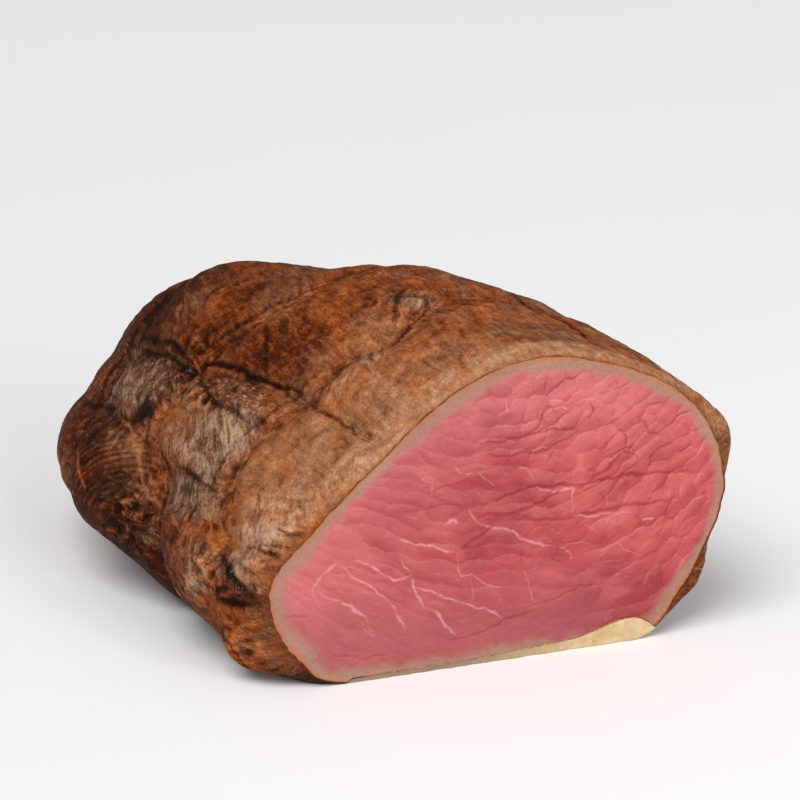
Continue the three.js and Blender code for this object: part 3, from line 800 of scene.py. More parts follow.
def fine_relief(girth, depth, settings):
    """Fine height of the crust, and how far its cracks, ridges and string marks are.

    Fibre bundles are crests drawn out along the joint, lumps are layered noise, folds are crests that
    run back from the cut, and crags are crests in the broken places. Cracks are sunk and ridges raised
    by bells across them, broken up by noise.
    """
    form, _ = skin_form(girth, depth)
    shrink = closing(depth / LENGTH, CLOSE_LEFT)
    rough = patch_sum(ROUGHENED, girth, depth)
    drawn = form * np.array([1, 0.2, 1])
    fibre = ridged_noise(drawn, 3.2, 11) * 0.6 + ridged_noise(drawn, 1.5, 15) * 0.4
    lump = layered_noise(form, 9.0, 21) + 0.5 * layered_noise(form, 3.5, 25)
    crag = ridged_noise(form, 5.0, 31, 3) * rough
    broken = 0.65 + 0.35 * lattice_noise(form, 3.0, 41)
    back = stacked(girth + 0.25 * depth, 0.22 * depth, 0)
    fold = ridged_noise(back, 3.2, 61, 3) + 0.5 * lattice_noise(form, 2.4, 64)
    fold = fold * patch_sum(FOLDED, girth, depth)
    height = settings.fibre * fibre + settings.lump * lump + settings.crag * crag + settings.fold * fold
    sway_round = girth + SWAY * layered_noise(form, SWAY_SIZE, 43)
    sway_along = depth + SWAY * layered_noise(form, SWAY_SIZE, 47)
    crack, sunk, crack_tone = nearest_line(CRACKS, sway_round, sway_along, shrink)
    ridge, raised, ridge_tone = nearest_line(RIDGES, sway_round, sway_along, shrink)
    lines = LINE_SHARE * broken * (raised * bell(ridge, RIDGE_SLOPE) - sunk * bell(crack, CRACK_SLOPE))
    marks = mark_distances(girth, depth)
    deepest = max(deep for deep, _ in marks)
    seam = np.min([away + 4 * (1 - deep / deepest) for deep, away in marks], axis=0)
    return height / MM + lines, {
        "crack": crack, "crack_tone": crack_tone, "ridge": ridge, "ridge_tone": ridge_tone,
        "seam": np.minimum(seam, 9), "rough": rough,
    }


def crust_arrays(settings):
    """The crust as arrays: the skin, its lip and a shallow bed behind the cut, closed at both poles."""
    side = np.linspace(0, SOLE_START, settings.columns, endpoint=False)
    sole = np.linspace(SOLE_START, GIRTH, settings.sole_columns, endpoint=False)
    stations = np.concatenate([side, sole])
    depths = LENGTH * np.sin(np.pi / 2 * (np.arange(settings.rows) / settings.rows) ** ROW_EASE)
    girth, depth = np.meshgrid(stations, depths)
    fine, masks = fine_relief(girth, depth, settings)
    fine = fine * smoothstep(depth, -0.6, 5) * smoothstep(LENGTH - depth, 0, 6)
    skin = skin_points(girth, depth, fine)
    rim_x, rim_z = rim_points(stations, 0)
    pull = bell(depths, 1.2)[:, None]
    skin[..., 0] = lerp(skin[..., 0], rim_x, pull)
    skin[..., 2] = lerp(skin[..., 2], rim_z, pull)
    fat = np.maximum(fat_height(outline_at(girth)[0], depth), 0)
    skin[..., 2] = np.maximum(skin[..., 2], fat + GAP * np.clip(fat, 0, 1))

    lip = np.array([rim_row(stations, inset, back) for inset, back in CRUST_LIP])
    grid = np.concatenate([lip, skin])
    bed = np.array([[CUT_CENTRE[0], BED_DEPTH, CUT_CENTRE[1]]])
    tip = skin[-1].mean(axis=0, keepdims=True)
    points = np.concatenate([grid.reshape(-1, 3), bed, tip])

    row_count, columns = grid.shape[:2]
    quads, corner_rows, corner_columns = grid_quads(row_count, columns, True)
    around = np.arange(columns)
    after = (around + 1) % columns
    last = (row_count - 1) * columns
    bed_fan = stacked(len(points) - 2, after, around)
    tip_fan = stacked(len(points) - 1, last + around, last + after)
    wrapped = np.append(stations, GIRTH)
    row_depths = np.concatenate([[-back for _, back in CRUST_LIP], depths])
    quad_uv = stacked(wrapped[corner_columns], row_depths[corner_rows]).reshape(-1, 2)
    bed_uv = fan_uv(wrapped[1:], wrapped[:-1], -2 * BED_DEPTH, row_depths[0])
    tip_uv = fan_uv(wrapped[:-1], wrapped[1:], LENGTH, depths[-1])

    # The lip: a thin dark line on the skin at the rim, partly browning, partly painted shadow.
    masks["lip"] = bell(depth, 0.6) * (0.4 + 0.6 * patch_sum(LIPPED, girth, depth)) * (girth < SOLE_START)
    # Painted shade: darker in the skin's small and wide hollows, lighter on its crests.
    masks["painted_cavity_shade"] = hollows(fine, 5, 0.4)
    masks["painted_broad_shade"] = hollows(fine, 40, 0.8)
    for key, patches in TINTS.items():
        masks[key] = patch_sum(patches, girth, depth)
    attributes = {}
    for key, values in masks.items():
        ends = [values[0].mean(), values[-1].mean()]
        attributes[key] = np.concatenate([np.tile(values[0], len(lip)), values.ravel(), ends])
    uv = np.concatenate([quad_uv, bed_uv, tip_uv])
    return points, quads, np.concatenate([bed_fan, tip_fan]), attributes, uv


def flesh_arrays(settings):
    """The cut as arrays: a square grid drawn out to the rim, a rounded edge, a wall and a back.

    A point of the grid lies on a ray from the middle of the cut to the rim. Its share of the ray is the
    larger of its two ways from the grid's middle, and its place on the rim is where it lies round them.
    """
    count = settings.cells // 2 * 2 + 1
    steps = np.linspace(-1, 1, count)
    u, v = np.meshgrid(steps, steps)
    ring = np.maximum(np.abs(u), np.abs(v))
    safe = np.maximum(ring, TINY)
    bottom, right, top = v <= -np.abs(u), u >= np.abs(v), v >= np.abs(u)
    turn = np.select(
        [bottom, right, top], [(1 - u / safe) / 2, 3 + (1 - v / safe) / 2, 2 + (1 + u / safe) / 2],
        1 + (1 + v / safe) / 2,
    )
    girth = np.interp(turn, np.arange(5), corner_stations())
    inset = settings.inset / MM
    x_rim, z_rim = rim_points(girth, inset)
    x = lerp(CUT_CENTRE[0], x_rim, ring)
    z = lerp(CUT_CENTRE[1], z_rim, ring)
    height, attributes = flesh_relief(x, z, settings)
    front = stacked(x, -height, z)

    order = border_order(count)
    edge_girth = girth.ravel()[order]
    rows = np.array([rim_row(edge_girth, inset + more, back) for more, back in FLESH_WALL])
    behind = np.array([[CUT_CENTRE[0], FLESH_WALL[-1][1], CUT_CENTRE[1]]])
    points = np.concatenate([front.reshape(-1, 3), rows.reshape(-1, 3), behind])

    rings = [order] + [count * count + len(order) * row + np.arange(len(order)) for row in range(len(rows))]
    nexts = [np.roll(ring, -1) for ring in rings]
    walls = [stacked(rings[row], nexts[row], nexts[row + 1], rings[row + 1]) for row in range(len(rows))]
    quads = np.concatenate([grid_quads(count, count, False)[0], *walls])
    back_fan = stacked(len(points) - 1, rings[-1], nexts[-1])
    for key, values in attributes.items():
        edge = values.ravel()[order]
        attributes[key] = np.concatenate([values.ravel(), np.tile(edge, len(rows)), [edge.mean()]])
    return points, quads, back_fan, attributes, flat_uv(points, [0, 2], quads, back_fan)


def corner_stations():
    """Girths of the four corners of the grid's square, and the first again: the outline's four far points."""
    girth = np.linspace(0, GIRTH, 4001)
    across, up = outline_at(girth)
    angle = np.arctan2(up - CUT_CENTRE[1], across - CUT_CENTRE[0])
    wanted = [math.radians(corner) for corner in GRID_CORNERS]
    found = [girth[np.argmin(np.abs(np.angle(np.exp(1j * (angle - value)))))] for value in wanted]
    return np.array([found[3] - GIRTH, *found])


def border_order(count):
    """Numbers of the points round the border of a square grid, from the lower right corner leftwards."""
    numbers = np.arange(count * count).reshape(count, count)
    return np.concatenate([numbers[0, :0:-1], numbers[:-1, 0], numbers[-1, :-1], numbers[:0:-1, -1]])


def flesh_relief(x, z, settings):
    """Height of the cut's surface, and how far its creases, veins, bundles and edge are.

    The flesh is made of bundles: scattered cells on a fan of lines, which slant down to the right at
    the left end and up to the right at the right end, warped by noise and smaller at the upper right.
    They show at the upper right and fade towards the lower left. Each swells between its borders and
    tips forward at its upper edge. A crease is sunk and a vein raised by a bell across it. The edge is
    the distance from the rim over the width of the cooked band there.
    """
    flat = stacked(x, 0, z)
    warp_x = x + 3.0 * layered_noise(flat, 18.0, 51, 2) + 0.5 * layered_noise(flat, 4.0, 52, 2)
    warp_z = z + 2.0 * layered_noise(flat, 15.0, 55, 2) + 0.35 * layered_noise(flat, 3.0, 58, 2)
    slant = 0.8 * warp_x - 0.0055 * (warp_x + 60) ** 2 - 0.004 * warp_x * (warp_z - 40)
    crowd = np.log1p(np.exp((warp_x + 1.2 * warp_z - 88) / 20))
    along, over = warp_x / BUNDLE_LENGTH + 1.2 * crowd, warp_z + slant
    border, below, value, level = scattered_cells(along, over / BUNDLE_HEIGHT, 61)
    border = border * BUNDLE_HEIGHT
    bundled = 0.03 + 0.97 * smoothstep(x + 0.8 * z, 30, 96)
    bundled = bundled * (0.35 + 0.65 * smoothstep(layered_noise(flat, 10.0, 57), -0.5, 0.5))
    sway_x = x + SWAY * layered_noise(flat, SWAY_SIZE, 73)
    sway_z = z + SWAY * layered_noise(flat, SWAY_SIZE, 76)
    crease, sunk, crease_tone = nearest_line(CREASES, sway_x, sway_z)
    vein, raised, vein_tone = nearest_line([(VEIN_HEIGHT, *row) for row in VEINS], sway_x, sway_z)
    run, _ = place_on_path(OUTLINE[::16], x, z)
    width = BAND_WIDTH + 1.6 * layered_noise(flat, 22.0, 77) + 1.1 * layered_noise(flat, 5.0, 78)
    width = width - smoothstep(x, 40, 70)
    swell = ((1 - np.exp(-border / 1.2)) + 0.8 * below * (1 - np.exp(-border / 0.5))) * bundled
    height = 0.5 * layered_noise(flat, 14.0, 81, 2) + 0.06 * layered_noise(flat, 2.0, 85)
    height = height + 0.05 * value * bundled + settings.dome / MM * swell
    height = height - settings.crease / MM * sunk * bell(crease, CREASE_SLOPE) + raised * bell(vein, 1)
    height = height * smoothstep(run, 0.5, 4) - FLESH_SET_BACK
    return height, {
        "crease": crease, "crease_tone": crease_tone, "vein": vein, "vein_tone": vein_tone,
        "border": np.minimum(border, 4), "below": below, "value": value, "level": level, "bundled": bundled,
        "along": warp_x * MM, "over": over * MM, "edge": np.clip(run / width, 0, 2),
        "shade": hollows(height, 12, 0.35),
    }


def fat_arrays(settings):
    """The fat as arrays: a loop round each of its cross-sections, carried back and closed at both ends.

    The loop runs along the sole from the right corner to the left end and back along the top line. At
    the cut it draws in to its middle height in a few rows, which make the face there.
    """
    count = settings.columns
    depths = FAT_BACK * (np.arange(settings.rows + 1) / settings.rows) ** FAT_EASE
    depths[0] = FAT_START
    girth = lerp(fat_corner(depths)[:, None], GIRTH, np.linspace(0, 1, count + 1)[None, :])
    depth = np.broadcast_to(depths[:, None], girth.shape)
    under = skin_points(girth, depth, 0 * girth)
    over = under.copy()
    over[..., 2] = np.maximum(under[..., 2] + RIM_GAP, fat_height(outline_at(girth)[0], depth))
    over[:, [0, -1]] = under[:, [0, -1]]
    loop = np.concatenate([under, over[:, -2:0:-1]], axis=1)
    middle = (under[0] + over[0]) / 2
    middle = np.concatenate([middle, middle[-2:0:-1]])
    face = []
    for kept, back in FAT_FACE:
        row = lerp(middle, loop[0], kept)
        row[:, 1] = back + 0.25 * lattice_noise(row, 2.5, 91)
        face.append(row)
    points = np.concatenate([face, loop]).reshape(-1, 3)
    columns = loop.shape[1]
    row_count = len(face) + len(loop)
    quads = [grid_quads(row_count, columns, True)[0][:, ::-1]]
    triangles = []
    for row, way in ((0, 1), (row_count - 1, -1)):
        low = row * columns + np.arange(count + 1)
        high = row * columns + (columns - np.arange(count + 1)) % columns
        high[-1] = low[-1]
        strip = stacked(low[1:-2], low[2:-1], high[2:-1], high[1:-2])
        tips = np.array([[low[0], low[1], high[1]], [low[-2], low[-1], high[-2]]])
        quads.append(strip[:, ::way])
        triangles.append(tips[:, ::way])
    quads = np.concatenate(quads)
    triangles = np.concatenate(triangles)
    front = np.repeat(np.concatenate([np.ones(len(face)), bell(depths - FAT_START, 1.0)]), columns)
    return points, quads, triangles, {"face": front}, flat_uv(points, [0, 1], quads, triangles)


def fat_corner(depths):
    """Girth, at each depth, where the fat's top line meets the right side of the joint above the sole."""
    girth = np.linspace(SOLE_START - 20, SOLE_START, 401)
    spread, depth = np.meshgrid(girth, depths)
    points = skin_points(spread, depth, 0 * spread)
    inside = fat_height(outline_at(spread)[0], depth) > points[..., 2]
    return girth[np.where(inside.any(axis=1), inside.argmax(axis=1), -1)]


class Socket:
    """A value of a material's node tree. Sums, differences and products of it add Math nodes."""

    def __init__(self, finish, socket):
        self.finish = finish
        self.socket = socket

    def maths(self, operation, *values):
        """The result of a Math node on these values."""
        return self.finish.node("Math", dict(enumerate(values)), "Value", operation=operation)

    def __add__(self, other):
        return self.maths("ADD", self, other)

    __radd__ = __add__

    def __sub__(self, other):
        return self.maths("SUBTRACT", self, other)

    def __rsub__(self, other):
        return self.maths("SUBTRACT", other, self)

    def __mul__(self, other):
        return self.maths("MULTIPLY", self, other)

    def unsigned(self):
        """The value without its sign."""
        return self.maths("ABSOLUTE", self)

    def step(self, low, high):
        """Rises smoothly from 0 at low to 1 at high."""
        inputs = {"Value": self, "From Min": low, "From Max": high}
        return self.finish.node("MapRange", inputs, "Result", interpolation_type="SMOOTHSTEP")

    def held(self):
        """The value, held between 0 and 1."""
        return self.finish.node("Clamp", {"Value": self}, "Result")


def swung(base, *terms):
    """The base with noises added to it, each less a half and times its weight."""
    for noise, weight in terms:
        base = base + (noise - 0.5) * weight
    return base


class Finish:
    """A material that is built from expressions."""

    # The numbers of a Mix node's sockets for colours.
    MIX_START, MIX_END, MIX_RESULT = 6, 7, 2

    def __init__(self, name):
        self.material = bpy.data.materials.new(name)
        self.material.use_nodes = True
        self.tree = self.material.node_tree
        self.tree.nodes.clear()

    def node(self, kind, inputs, output=0, stops=(), **settings):
        """Adds a node and returns one output. Settings and a ramp's stops are set before values and links."""
        node = self.tree.nodes.new("ShaderNode" + kind)
        for key, value in settings.items():
            setattr(node, key, value)
        if stops:
            for _ in stops[2:]:
                node.color_ramp.elements.new(0.5)
            for element, (place, colour) in zip(node.color_ramp.elements, stops):
                element.position = place
                element.color = (*colour, 1.0)
        for key, value in inputs.items():
            if isinstance(value, Socket):
                self.tree.links.new(value.socket, node.inputs[key])
            else:
                node.inputs[key].default_value = value
        return Socket(self, node.outputs[output]) if node.outputs else None

    def attribute(self, name):
        """A value that the mesh carries at each point."""
        return self.node("Attribute", {}, "Fac", attribute_name=name)

    def line(self, name, jitter, low, high):
        """How strongly a kind of line shows: fully at low half widths from it, and nothing at high."""
        return (1 - (self.attribute(name) + jitter).step(low, high)) * self.attribute(name + "_tone")

    def place(self):
        """The place on the piece, in metres."""
        return self.node("TexCoord", {}, "Object")

    def uv(self, name):
        """The place on one of the piece's UV maps, in metres."""
        return self.node("UVMap", {}, "UV", uv_map=name)

    def part(self, vector, letter):
        """One part of a vector, X, Y or Z."""
        return self.node("SeparateXYZ", {"Vector": vector}, letter)

    def stretched(self, vector, scale, turn=(0, 0, 0), shift=(0, 0, 0)):
        """The place with each way scaled, then turned, then shifted."""
        inputs = {"Vector": vector, "Scale": scale, "Rotation": turn, "Location": shift}
        return self.node("Mapping", inputs, "Vector")

    def noise(self, vector, size, detail=2.0, roughness=0.5, distortion=0.0):
        """Soft noise from 0 to 1 with features of about that size, in millimetres."""
        inputs = {"Vector": vector, "Scale": 1 / (size * MM), "Detail": detail, "Roughness": roughness}
        return self.node("TexNoise", {**inputs, "Distortion": distortion}, "Fac")

    def pushed(self, vector, distance, slow):
        """The place slowed down and moved on by a distance, so that noise on it is drawn out along a line."""
        slowed = self.stretched(vector, (slow, slow, slow))
        moved = self.node("CombineXYZ", {"X": distance}, "Vector")
        return self.node("VectorMath", {0: slowed, 1: moved}, "Vector", operation="ADD")

    def cell_border(self, vector, size, sway):
        """How far a cell's border is, in shares of its size in millimetres. Noise moves the place by sway."""
        drift = self.node("TexNoise", {"Vector": vector, "Scale": 0.6 / (size * MM), "Detail": 3.0}, "Color")
        inputs = {0: drift, 1: [sway * MM] * 3, 2: vector}
        moved = self.node("VectorMath", inputs, "Vector", operation="MULTIPLY_ADD")
        inputs = {"Vector": moved, "Scale": 1 / (size * MM)}
        return self.node("TexVoronoi", inputs, "Distance", feature="DISTANCE_TO_EDGE")

    def mix(self, share, start, end):
        """Colour that goes from start to end as share goes from 0 to 1."""
        colours = [colour if isinstance(colour, Socket) else (*colour, 1.0) for colour in (start, end)]
        inputs = {"Factor": share, self.MIX_START: colours[0], self.MIX_END: colours[1]}
        return self.node("Mix", inputs, self.MIX_RESULT, data_type="RGBA", clamp_factor=True)

    def coated(self, colour, *coats):
        """The colour with others laid over it in turn, each a share and a colour."""
        for share, coat in coats:
            colour = self.mix(share, colour, coat)
        return colour

    def ramp(self, share, *stops):
        """Colour read off a ramp of stops, each a place and a colour."""
        return self.node("ValToRGB", {"Fac": share}, "Color", stops)

    def surface(self, fixed, varying, bump_height, bump_depth):
        """Ends the material with a Principled shader that has a Bump on its normal."""
        inputs = {"Strength": 1.0, "Distance": bump_depth, "Height": bump_height}
        normal = self.node("Bump", inputs, "Normal")
        shader = self.node("BsdfPrincipled", {**fixed, **varying, "Normal": normal}, "BSDF")
        self.node("OutputMaterial", {"Surface": shader})
        return self.material


def crust_finish(look):
    """Browned skin: two ranges of brown in blotches, mottles and streaks, with burnt, dried and torn places.

    Beside the string marks it is drawn out in dark and light strands, one muscle is ringed, and the fibres
    of the dried places are combed. Wrinkles and crinkles run over it.
    """
    finish = Finish("browned_crust")
    noise, stretched, at = finish.noise, finish.stretched, finish.attribute
    place, skin = finish.place(), finish.uv("skin")
    blotch = noise(place, 20, 5, 0.6, 0.6)
    warmth = noise(stretched(place, (1, 0.5, 1), (0.4, 0.2, 0.7)), 13, 5, 0.62, 0.5)
    mottle = noise(place, 4.5, 6, 0.66, 0.4)
    fleck = noise(place, 1.9, 3, 0.6, 0.8)
    streak = noise(stretched(place, (1, 0.18, 1)), 1.6, 5, 0.66, 0.5)
    fibres = noise(stretched(skin, (1, 0.25, 1), (0, 0, 0.25)), 1.4, 5, 0.62, 1.1)
    turned = stretched(skin, (1, 1, 1), (0, 0, COMB_ANGLE))
    combed = noise(stretched(turned, (1, 0.2, 1)), 1.9, 5, 0.64, 0.8)
    grain = noise(place, 0.7, 3, 0.65)
    jitter = (noise(place, 1.2, 3, 0.6) - 0.5) * 2.4
    rough, dark, pale, dry, seam = at("rough"), at("dark"), at("pale"), at("ash"), at("seam")

    band = 1 - (seam + (mottle - 0.5) * 4).step(0.8, 4.6)
    strands = noise(finish.pushed(place, seam * MM, 0.16), 1.2, 4, 0.62, 0.6)
    rings = {
        "Vector": stretched(skin, (1, 0.7, 0), shift=RINGS_MIDDLE), "Scale": 125.0, "Distortion": 9.0,
        "Detail": 3.0, "Detail Scale": 0.3, "Detail Roughness": 0.65,
    }
    arcs = finish.node("TexWave", rings, "Fac", wave_type="RINGS", rings_direction="SPHERICAL")
    arcs = (arcs - 0.5) * at("arcs") * mottle.step(0.38, 0.6)
    combing = dry.step(0.05, 0.45)
    wrinkle = 1 - finish.cell_border(place, 4.8, 4.5).step(0.0, 0.11)
    wrinkle = wrinkle * blotch.step(0.4, 0.62) * mottle.step(0.36, 0.56) * (0.35 + rough * 0.65)
    crinkle = 1 - finish.cell_border(place, 2.1, 2.4).step(0.0, 0.2)
    crinkle = crinkle * mottle.step(0.34, 0.6) * (0.7 + rough * 0.5 + at("specks") * 0.2)
    speck = (fleck * 0.6 + mottle * 0.4).step(0.55, 0.66) * at("specks")

    uneven = swung(0, (mottle, 0.55), (fleck, 0.3), (grain, 0.35), (fibres, 0.25))
    tone = swung(
        0.535, (blotch, 0.5), (streak, 0.25 + at("streaks") * 0.8), (strands, band * 0.95), (combed, combing)
    )
    # The band along the string marks darkens the tone a little: painted shade in their valleys.
    tone = tone + uneven * (0.9 + dark * 0.2) + pale * 0.22 - dark * 0.5 + arcs * 0.24 - band * 0.06
    # Painted shade: the hollows darken the tone and the crests lighten it.
    tone = tone - at("painted_cavity_shade") * 0.2 - at("painted_broad_shade") * 0.13 - speck * 0.16 - wrinkle * 0.22 - crinkle * 0.1
    tone = tone.held()
    cool = (0.04, look.dark), (0.27, look.brown), (0.46, look.chestnut), (0.68, look.tan), (0.95, look.pale)
    warm = (0.04, look.dark), (0.27, look.sienna), (0.48, look.rust), (0.72, look.amber), (1, look.pale)
    baked = swung(0.44, (warmth, 2.2), (streak, 0.7)) + at("warm") * 0.5 - pale * 0.2
    baked = baked + dark * 0.25 + band * 0.08 - at("arcs") * 0.3
    ragged = swung(0.47, (mottle, 1.3), (fibres, 1.2), (fleck, 0.9), (grain, 0.6))
    torn = finish.ramp(
        ragged.held(), (0.22, look.char), (0.38, look.torn), (0.6, look.chestnut), (0.8, look.horn)
    )
    speckled = swung(0.67, (combed, 1.5), (mottle, 0.9), (fleck, 0.5), (grain, 0.8), (blotch, 0.5))
    ashen = finish.ramp(
        (speckled + pale * 0.15 - dark * 0.5).held(),
        (0.2, look.slate), (0.4, look.chestnut), (0.58, look.ash), (0.88, look.horn),
    )
    dried = dry * swung(0.8, (blotch, 0.8), (mottle, 1.0), (combed, 0.8))
    burnt = at("char") * (0.2 + mottle * 0.8 + fleck * 0.7)
    ridge = finish.line("ridge", jitter * 0.5, 0.0, 1.3)
    # Glints: a painted highlight on the brightest fibres, which also get a glossy coat.
    painted_glint_and_coat = fibres.step(0.6, 0.7) * 0.25 + combed.step(0.6, 0.7) * combing * 0.5
    # Painted shade: a wide soft darkening either side of each crack.
    crack_shade = finish.line("crack", jitter, 0.2, 2.8)
    cleft = finish.line("crack", jitter * 0.8, 0.2, 1.2)
    colour = finish.coated(
        finish.ramp(tone, *cool),
        (baked.step(0.0, 1.0), finish.ramp(tone, *warm)),
        ((at("torn") * (0.4 + mottle * 0.9)).step(0.25, 0.7) * 0.8, torn),
        (dried.step(0.05, 0.95) * 0.85, ashen),
        (burnt.step(0.3, 0.9) * 0.85, look.char),
        # Light ridge lines: partly pale strands, partly painted highlight.
        (ridge * (0.45 + fleck * 0.5), finish.mix(mottle.step(0.4, 0.6), look.tan, look.amber)),
        # Painted highlight: the glints in horn.
        (painted_glint_and_coat * 0.5, look.horn),
        # Painted shade round the cracks.
        (crack_shade * (0.15 + mottle * 0.5), look.dark),
        (cleft * fleck.step(0.34, 0.54) * 0.9, look.char),
        # The lip's dark line: partly browning, partly painted shadow at the rim.
        (at("lip") * mottle.step(0.3, 0.55) * 0.8, look.sienna),
    )

    glossy = (noise(place, 3, 2, 0.5) * 0.6 + fibres * 0.5).step(0.56, 0.72)
    height = streak * 0.5 + fibres * 0.45 + grain * 0.35 + mottle * 0.6 + fleck * 0.4 + band * strands * 0.9
    height = height + (combed - 0.5) * combing * 0.65 + arcs * 0.6 + ridge * 0.3
    height = height - speck * 0.3 - wrinkle * 0.45 - crinkle * 0.3 - cleft * 0.5
    return finish.surface(
        {"Specular IOR Level": 0.05, "Coat Roughness": 0.25},
        {"Base Color": colour, "Roughness": 0.66 - glossy * 0.2, "Coat Weight": glossy * 0.14 + painted_glint_and_coat * 0.4},
        height, 0.75 * MM,
    )


def flesh_finish(look):
    """The cut: deeper pink in the middle, paler at the left, with a grey and tan band inside the crust."""
    finish = Finish("pink_flesh")
    noise, stretched, at = finish.noise, finish.stretched, finish.attribute
    place, cut = finish.place(), finish.uv("cut")
    across, up = finish.part(cut, "X"), finish.part(cut, "Y")
    spread = finish.node("CombineXYZ", {"X": at("along"), "Y": at("over")}, "Vector")
    cloud = noise(place, 20, 4, 0.55, 0.4)
    grain = noise(stretched(place, (0.85, 1, 1.1), (0, 0.4, 0)), 2.6, 5, 0.64, 0.3)
    fine = noise(place, 0.8, 3, 0.65)
    sweep = noise(stretched(spread, (0.35, 1, 1)), 6, 4, 0.55, 0.3)
    thin = noise(stretched(spread, (0.24, 1, 1)), 1.9, 4, 0.6, 0.2)
    thread = noise(place, 4, 3, 0.6).step(0.38, 0.56)
    jitter = (noise(place, 1.2, 3, 0.6) - 0.5) * 1.6
    bundled, value, below, border = at("bundled"), at("value"), at("below"), at("border")

    low = 1 - up.step(0.008, 0.04)
    low_right = low * across.step(0.0, 0.03)
    middle = up.step(0.03, 0.05) * (1 - up.step(0.056, 0.07)) * across.step(-0.02, 0.01)
    middle_left = across.step(-0.065, -0.03) * (1 - across.step(0.0, 0.03)) * up.step(0.02, 0.035)
    swept = 0.7 + bundled * 0.8 + low * 0.5 + low_right * 1.2
    thinned = 0.08 + bundled * 0.7
    depth = swung(0.33, (cloud, 0.7), (grain, 0.55), (fine, 0.25), (sweep, swept), (thin, thinned))
    # Painted light and shade: deeper pink in the hollows and at the foot of each bundle, paler at its top.
    depth = depth + low_right * (0.75 + value * 0.18) + at("shade") * 0.2 + value * 0.1
    depth = depth - below * (bundled * 0.2 + 0.04) + middle * 0.12 + low * 0.12 + middle_left * 0.4
    pale = swung(0.08, (grain, 0.6), (cloud, -0.5), (sweep, -0.5 - bundled * 0.4), (thin, bundled * -0.6))
    pale = pale + (1 - across.step(-0.07, 0.0)) * 0.4 + up.step(0.055, 0.095) * 0.4 + below * 0.22
    dull = low * (0.5 + cloud * 0.5) * (1 - across.step(0.02, 0.06))

    # Borders: a dark line, partly the flesh's own, strongest under each bundle as painted shade, and a pale
    # upper edge, partly painted highlight.
    under = 1 - below.step(-0.15, 0.3)
    parted = (0.03 + bundled * 0.7) * (0.5 + at("level").step(0.1, 0.7) * 0.5) * (0.35 + under * 0.65)
    parted = parted * sweep.step(0.36, 0.54)
    line = (1 - (border + jitter * 0.4).step(-0.15, 0.95)) * parted
    beside = (1 - (border - 0.7 + jitter * 0.35).unsigned() * 1.8).held() * (1 - under)
    beside = beside * (1 - thin.step(0.42, 0.56)) * (0.06 + bundled * 0.24) * cloud.step(0.42, 0.58)
    tilted = stretched(place, (0.6, 1, 1.1), (0, 0.4, 0))
    small = 1 - finish.cell_border(tilted, 2.4, 3).step(0.0, 0.2)
    crease = finish.line("crease", jitter * 0.5, -0.2, 1.5)
    vein = finish.line("vein", jitter * 0.4, -0.3, 2.3)

    edge = swung(at("edge"), (cloud, 0.4), (grain, 0.4))
    edge = edge - low * (cloud - 0.35).held() * 0.5 + (1 - up.step(0.006, 0.014)) * 0.12
    # The band starts with a thin dark line at the rim, partly painted shadow.
    band = finish.ramp(
        edge.held(), (0.0, look.edge), (0.06, look.tan), (0.18, look.tan), (0.32, look.grey), (1.0, look.grey)
    )
    cooked = finish.coated(
        band,
        ((grain - 0.3).held() * 0.6, look.tan),
        ((0.56 - cloud * 0.4 - fine * 0.6).held() * 1.6, look.edge),
    )
    colour = finish.coated(
        look.pink,
        (depth.held(), look.ruby),
        (pale.held(), look.rose),
        (dull.held(), look.mauve),
        (small * grain.step(0.35, 0.6) * 0.14, look.ruby),
        # Painted shade and highlight on the bundles' edges, partly their own lines.
        (beside, look.vein),
        (line, look.wine),
        # The creases' dark line: partly the flesh's own darker lines, partly painted shade in the creases.
        (crease * (0.42 + sweep * 0.7), look.wine),
        (vein * (0.3 + thread * 0.7) * 0.54, look.vein),
    )
    height = grain * 0.3 + fine * 0.35 - thin * 0.12 - line * 0.4 - small * 0.1 - crease * 0.2 + vein * 0.1
    return finish.surface(
        {"Specular IOR Level": 0.2, "Coat Roughness": 0.3, "Coat Weight": 0.06, "Subsurface Weight": 0.08,
         "Subsurface Radius": (0.6, 0.25, 0.15), "Subsurface Scale": 2.0 * MM},
        {"Base Color": finish.mix(edge.step(0.4, 1.2), cooked, colour), "Roughness": 0.28 + grain * 0.4},
        height, 0.45 * MM,
    )


def fat_finish(look):
    """Roasted fat: cream at the cut with butter yellow in it, duller at its thin end, and browned outside."""
    finish = Finish("roast_fat")
    place = finish.place()
    cloud = finish.noise(place, 6, 3, 0.55)
    spots = finish.noise(place, 2.2, 3, 0.6)
    browned = (1 - finish.attribute("face")) * (0.5 + spots) + (spots - 0.63).held() * 6
    colour = finish.coated(
        look.cream,
        (swung(0.35, (cloud, 1.8), (spots, 1.2)).held(), look.butter),
        (browned.held(), look.roasted),
        ((1 - finish.part(place, "X").step(-0.01, 0.05)) * 0.95, look.dull),
    )
    return finish.surface(
        {"Specular IOR Level": 0.5, "Coat Weight": 0.15, "Coat Roughness": 0.3},
        {"Base Color": colour, "Roughness": 0.38 + spots * 0.2},
        cloud * 0.6 + spots * 0.4, 0.5 * MM,
    )


def floor_finish(look):
    """Plain pale floor with a faint cloud in it."""
    finish = Finish("stage_floor")
    cloud = finish.noise(finish.place(), 400, 2, 0.5)
    colour = finish.mix(cloud, look.floor, [FLOOR_SHADE * value for value in look.floor])
    varying = {"Base Color": colour, "Roughness": 0.9 - cloud * 0.05}
    return finish.surface({"Specular IOR Level": 0.1}, varying, cloud, MM)


def place_piece(name, arrays, uv_name, finish, node):
    """Makes a piece of the joint from its arrays and finish, hangs it under the root and hides its node."""
    points, quads, triangles, attributes, uv = arrays
    piece = build_mesh(name, points, quads, triangles, attributes, uv_name, uv)
    piece.data.materials.append(finish)
    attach(piece, "root")
    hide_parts(node)


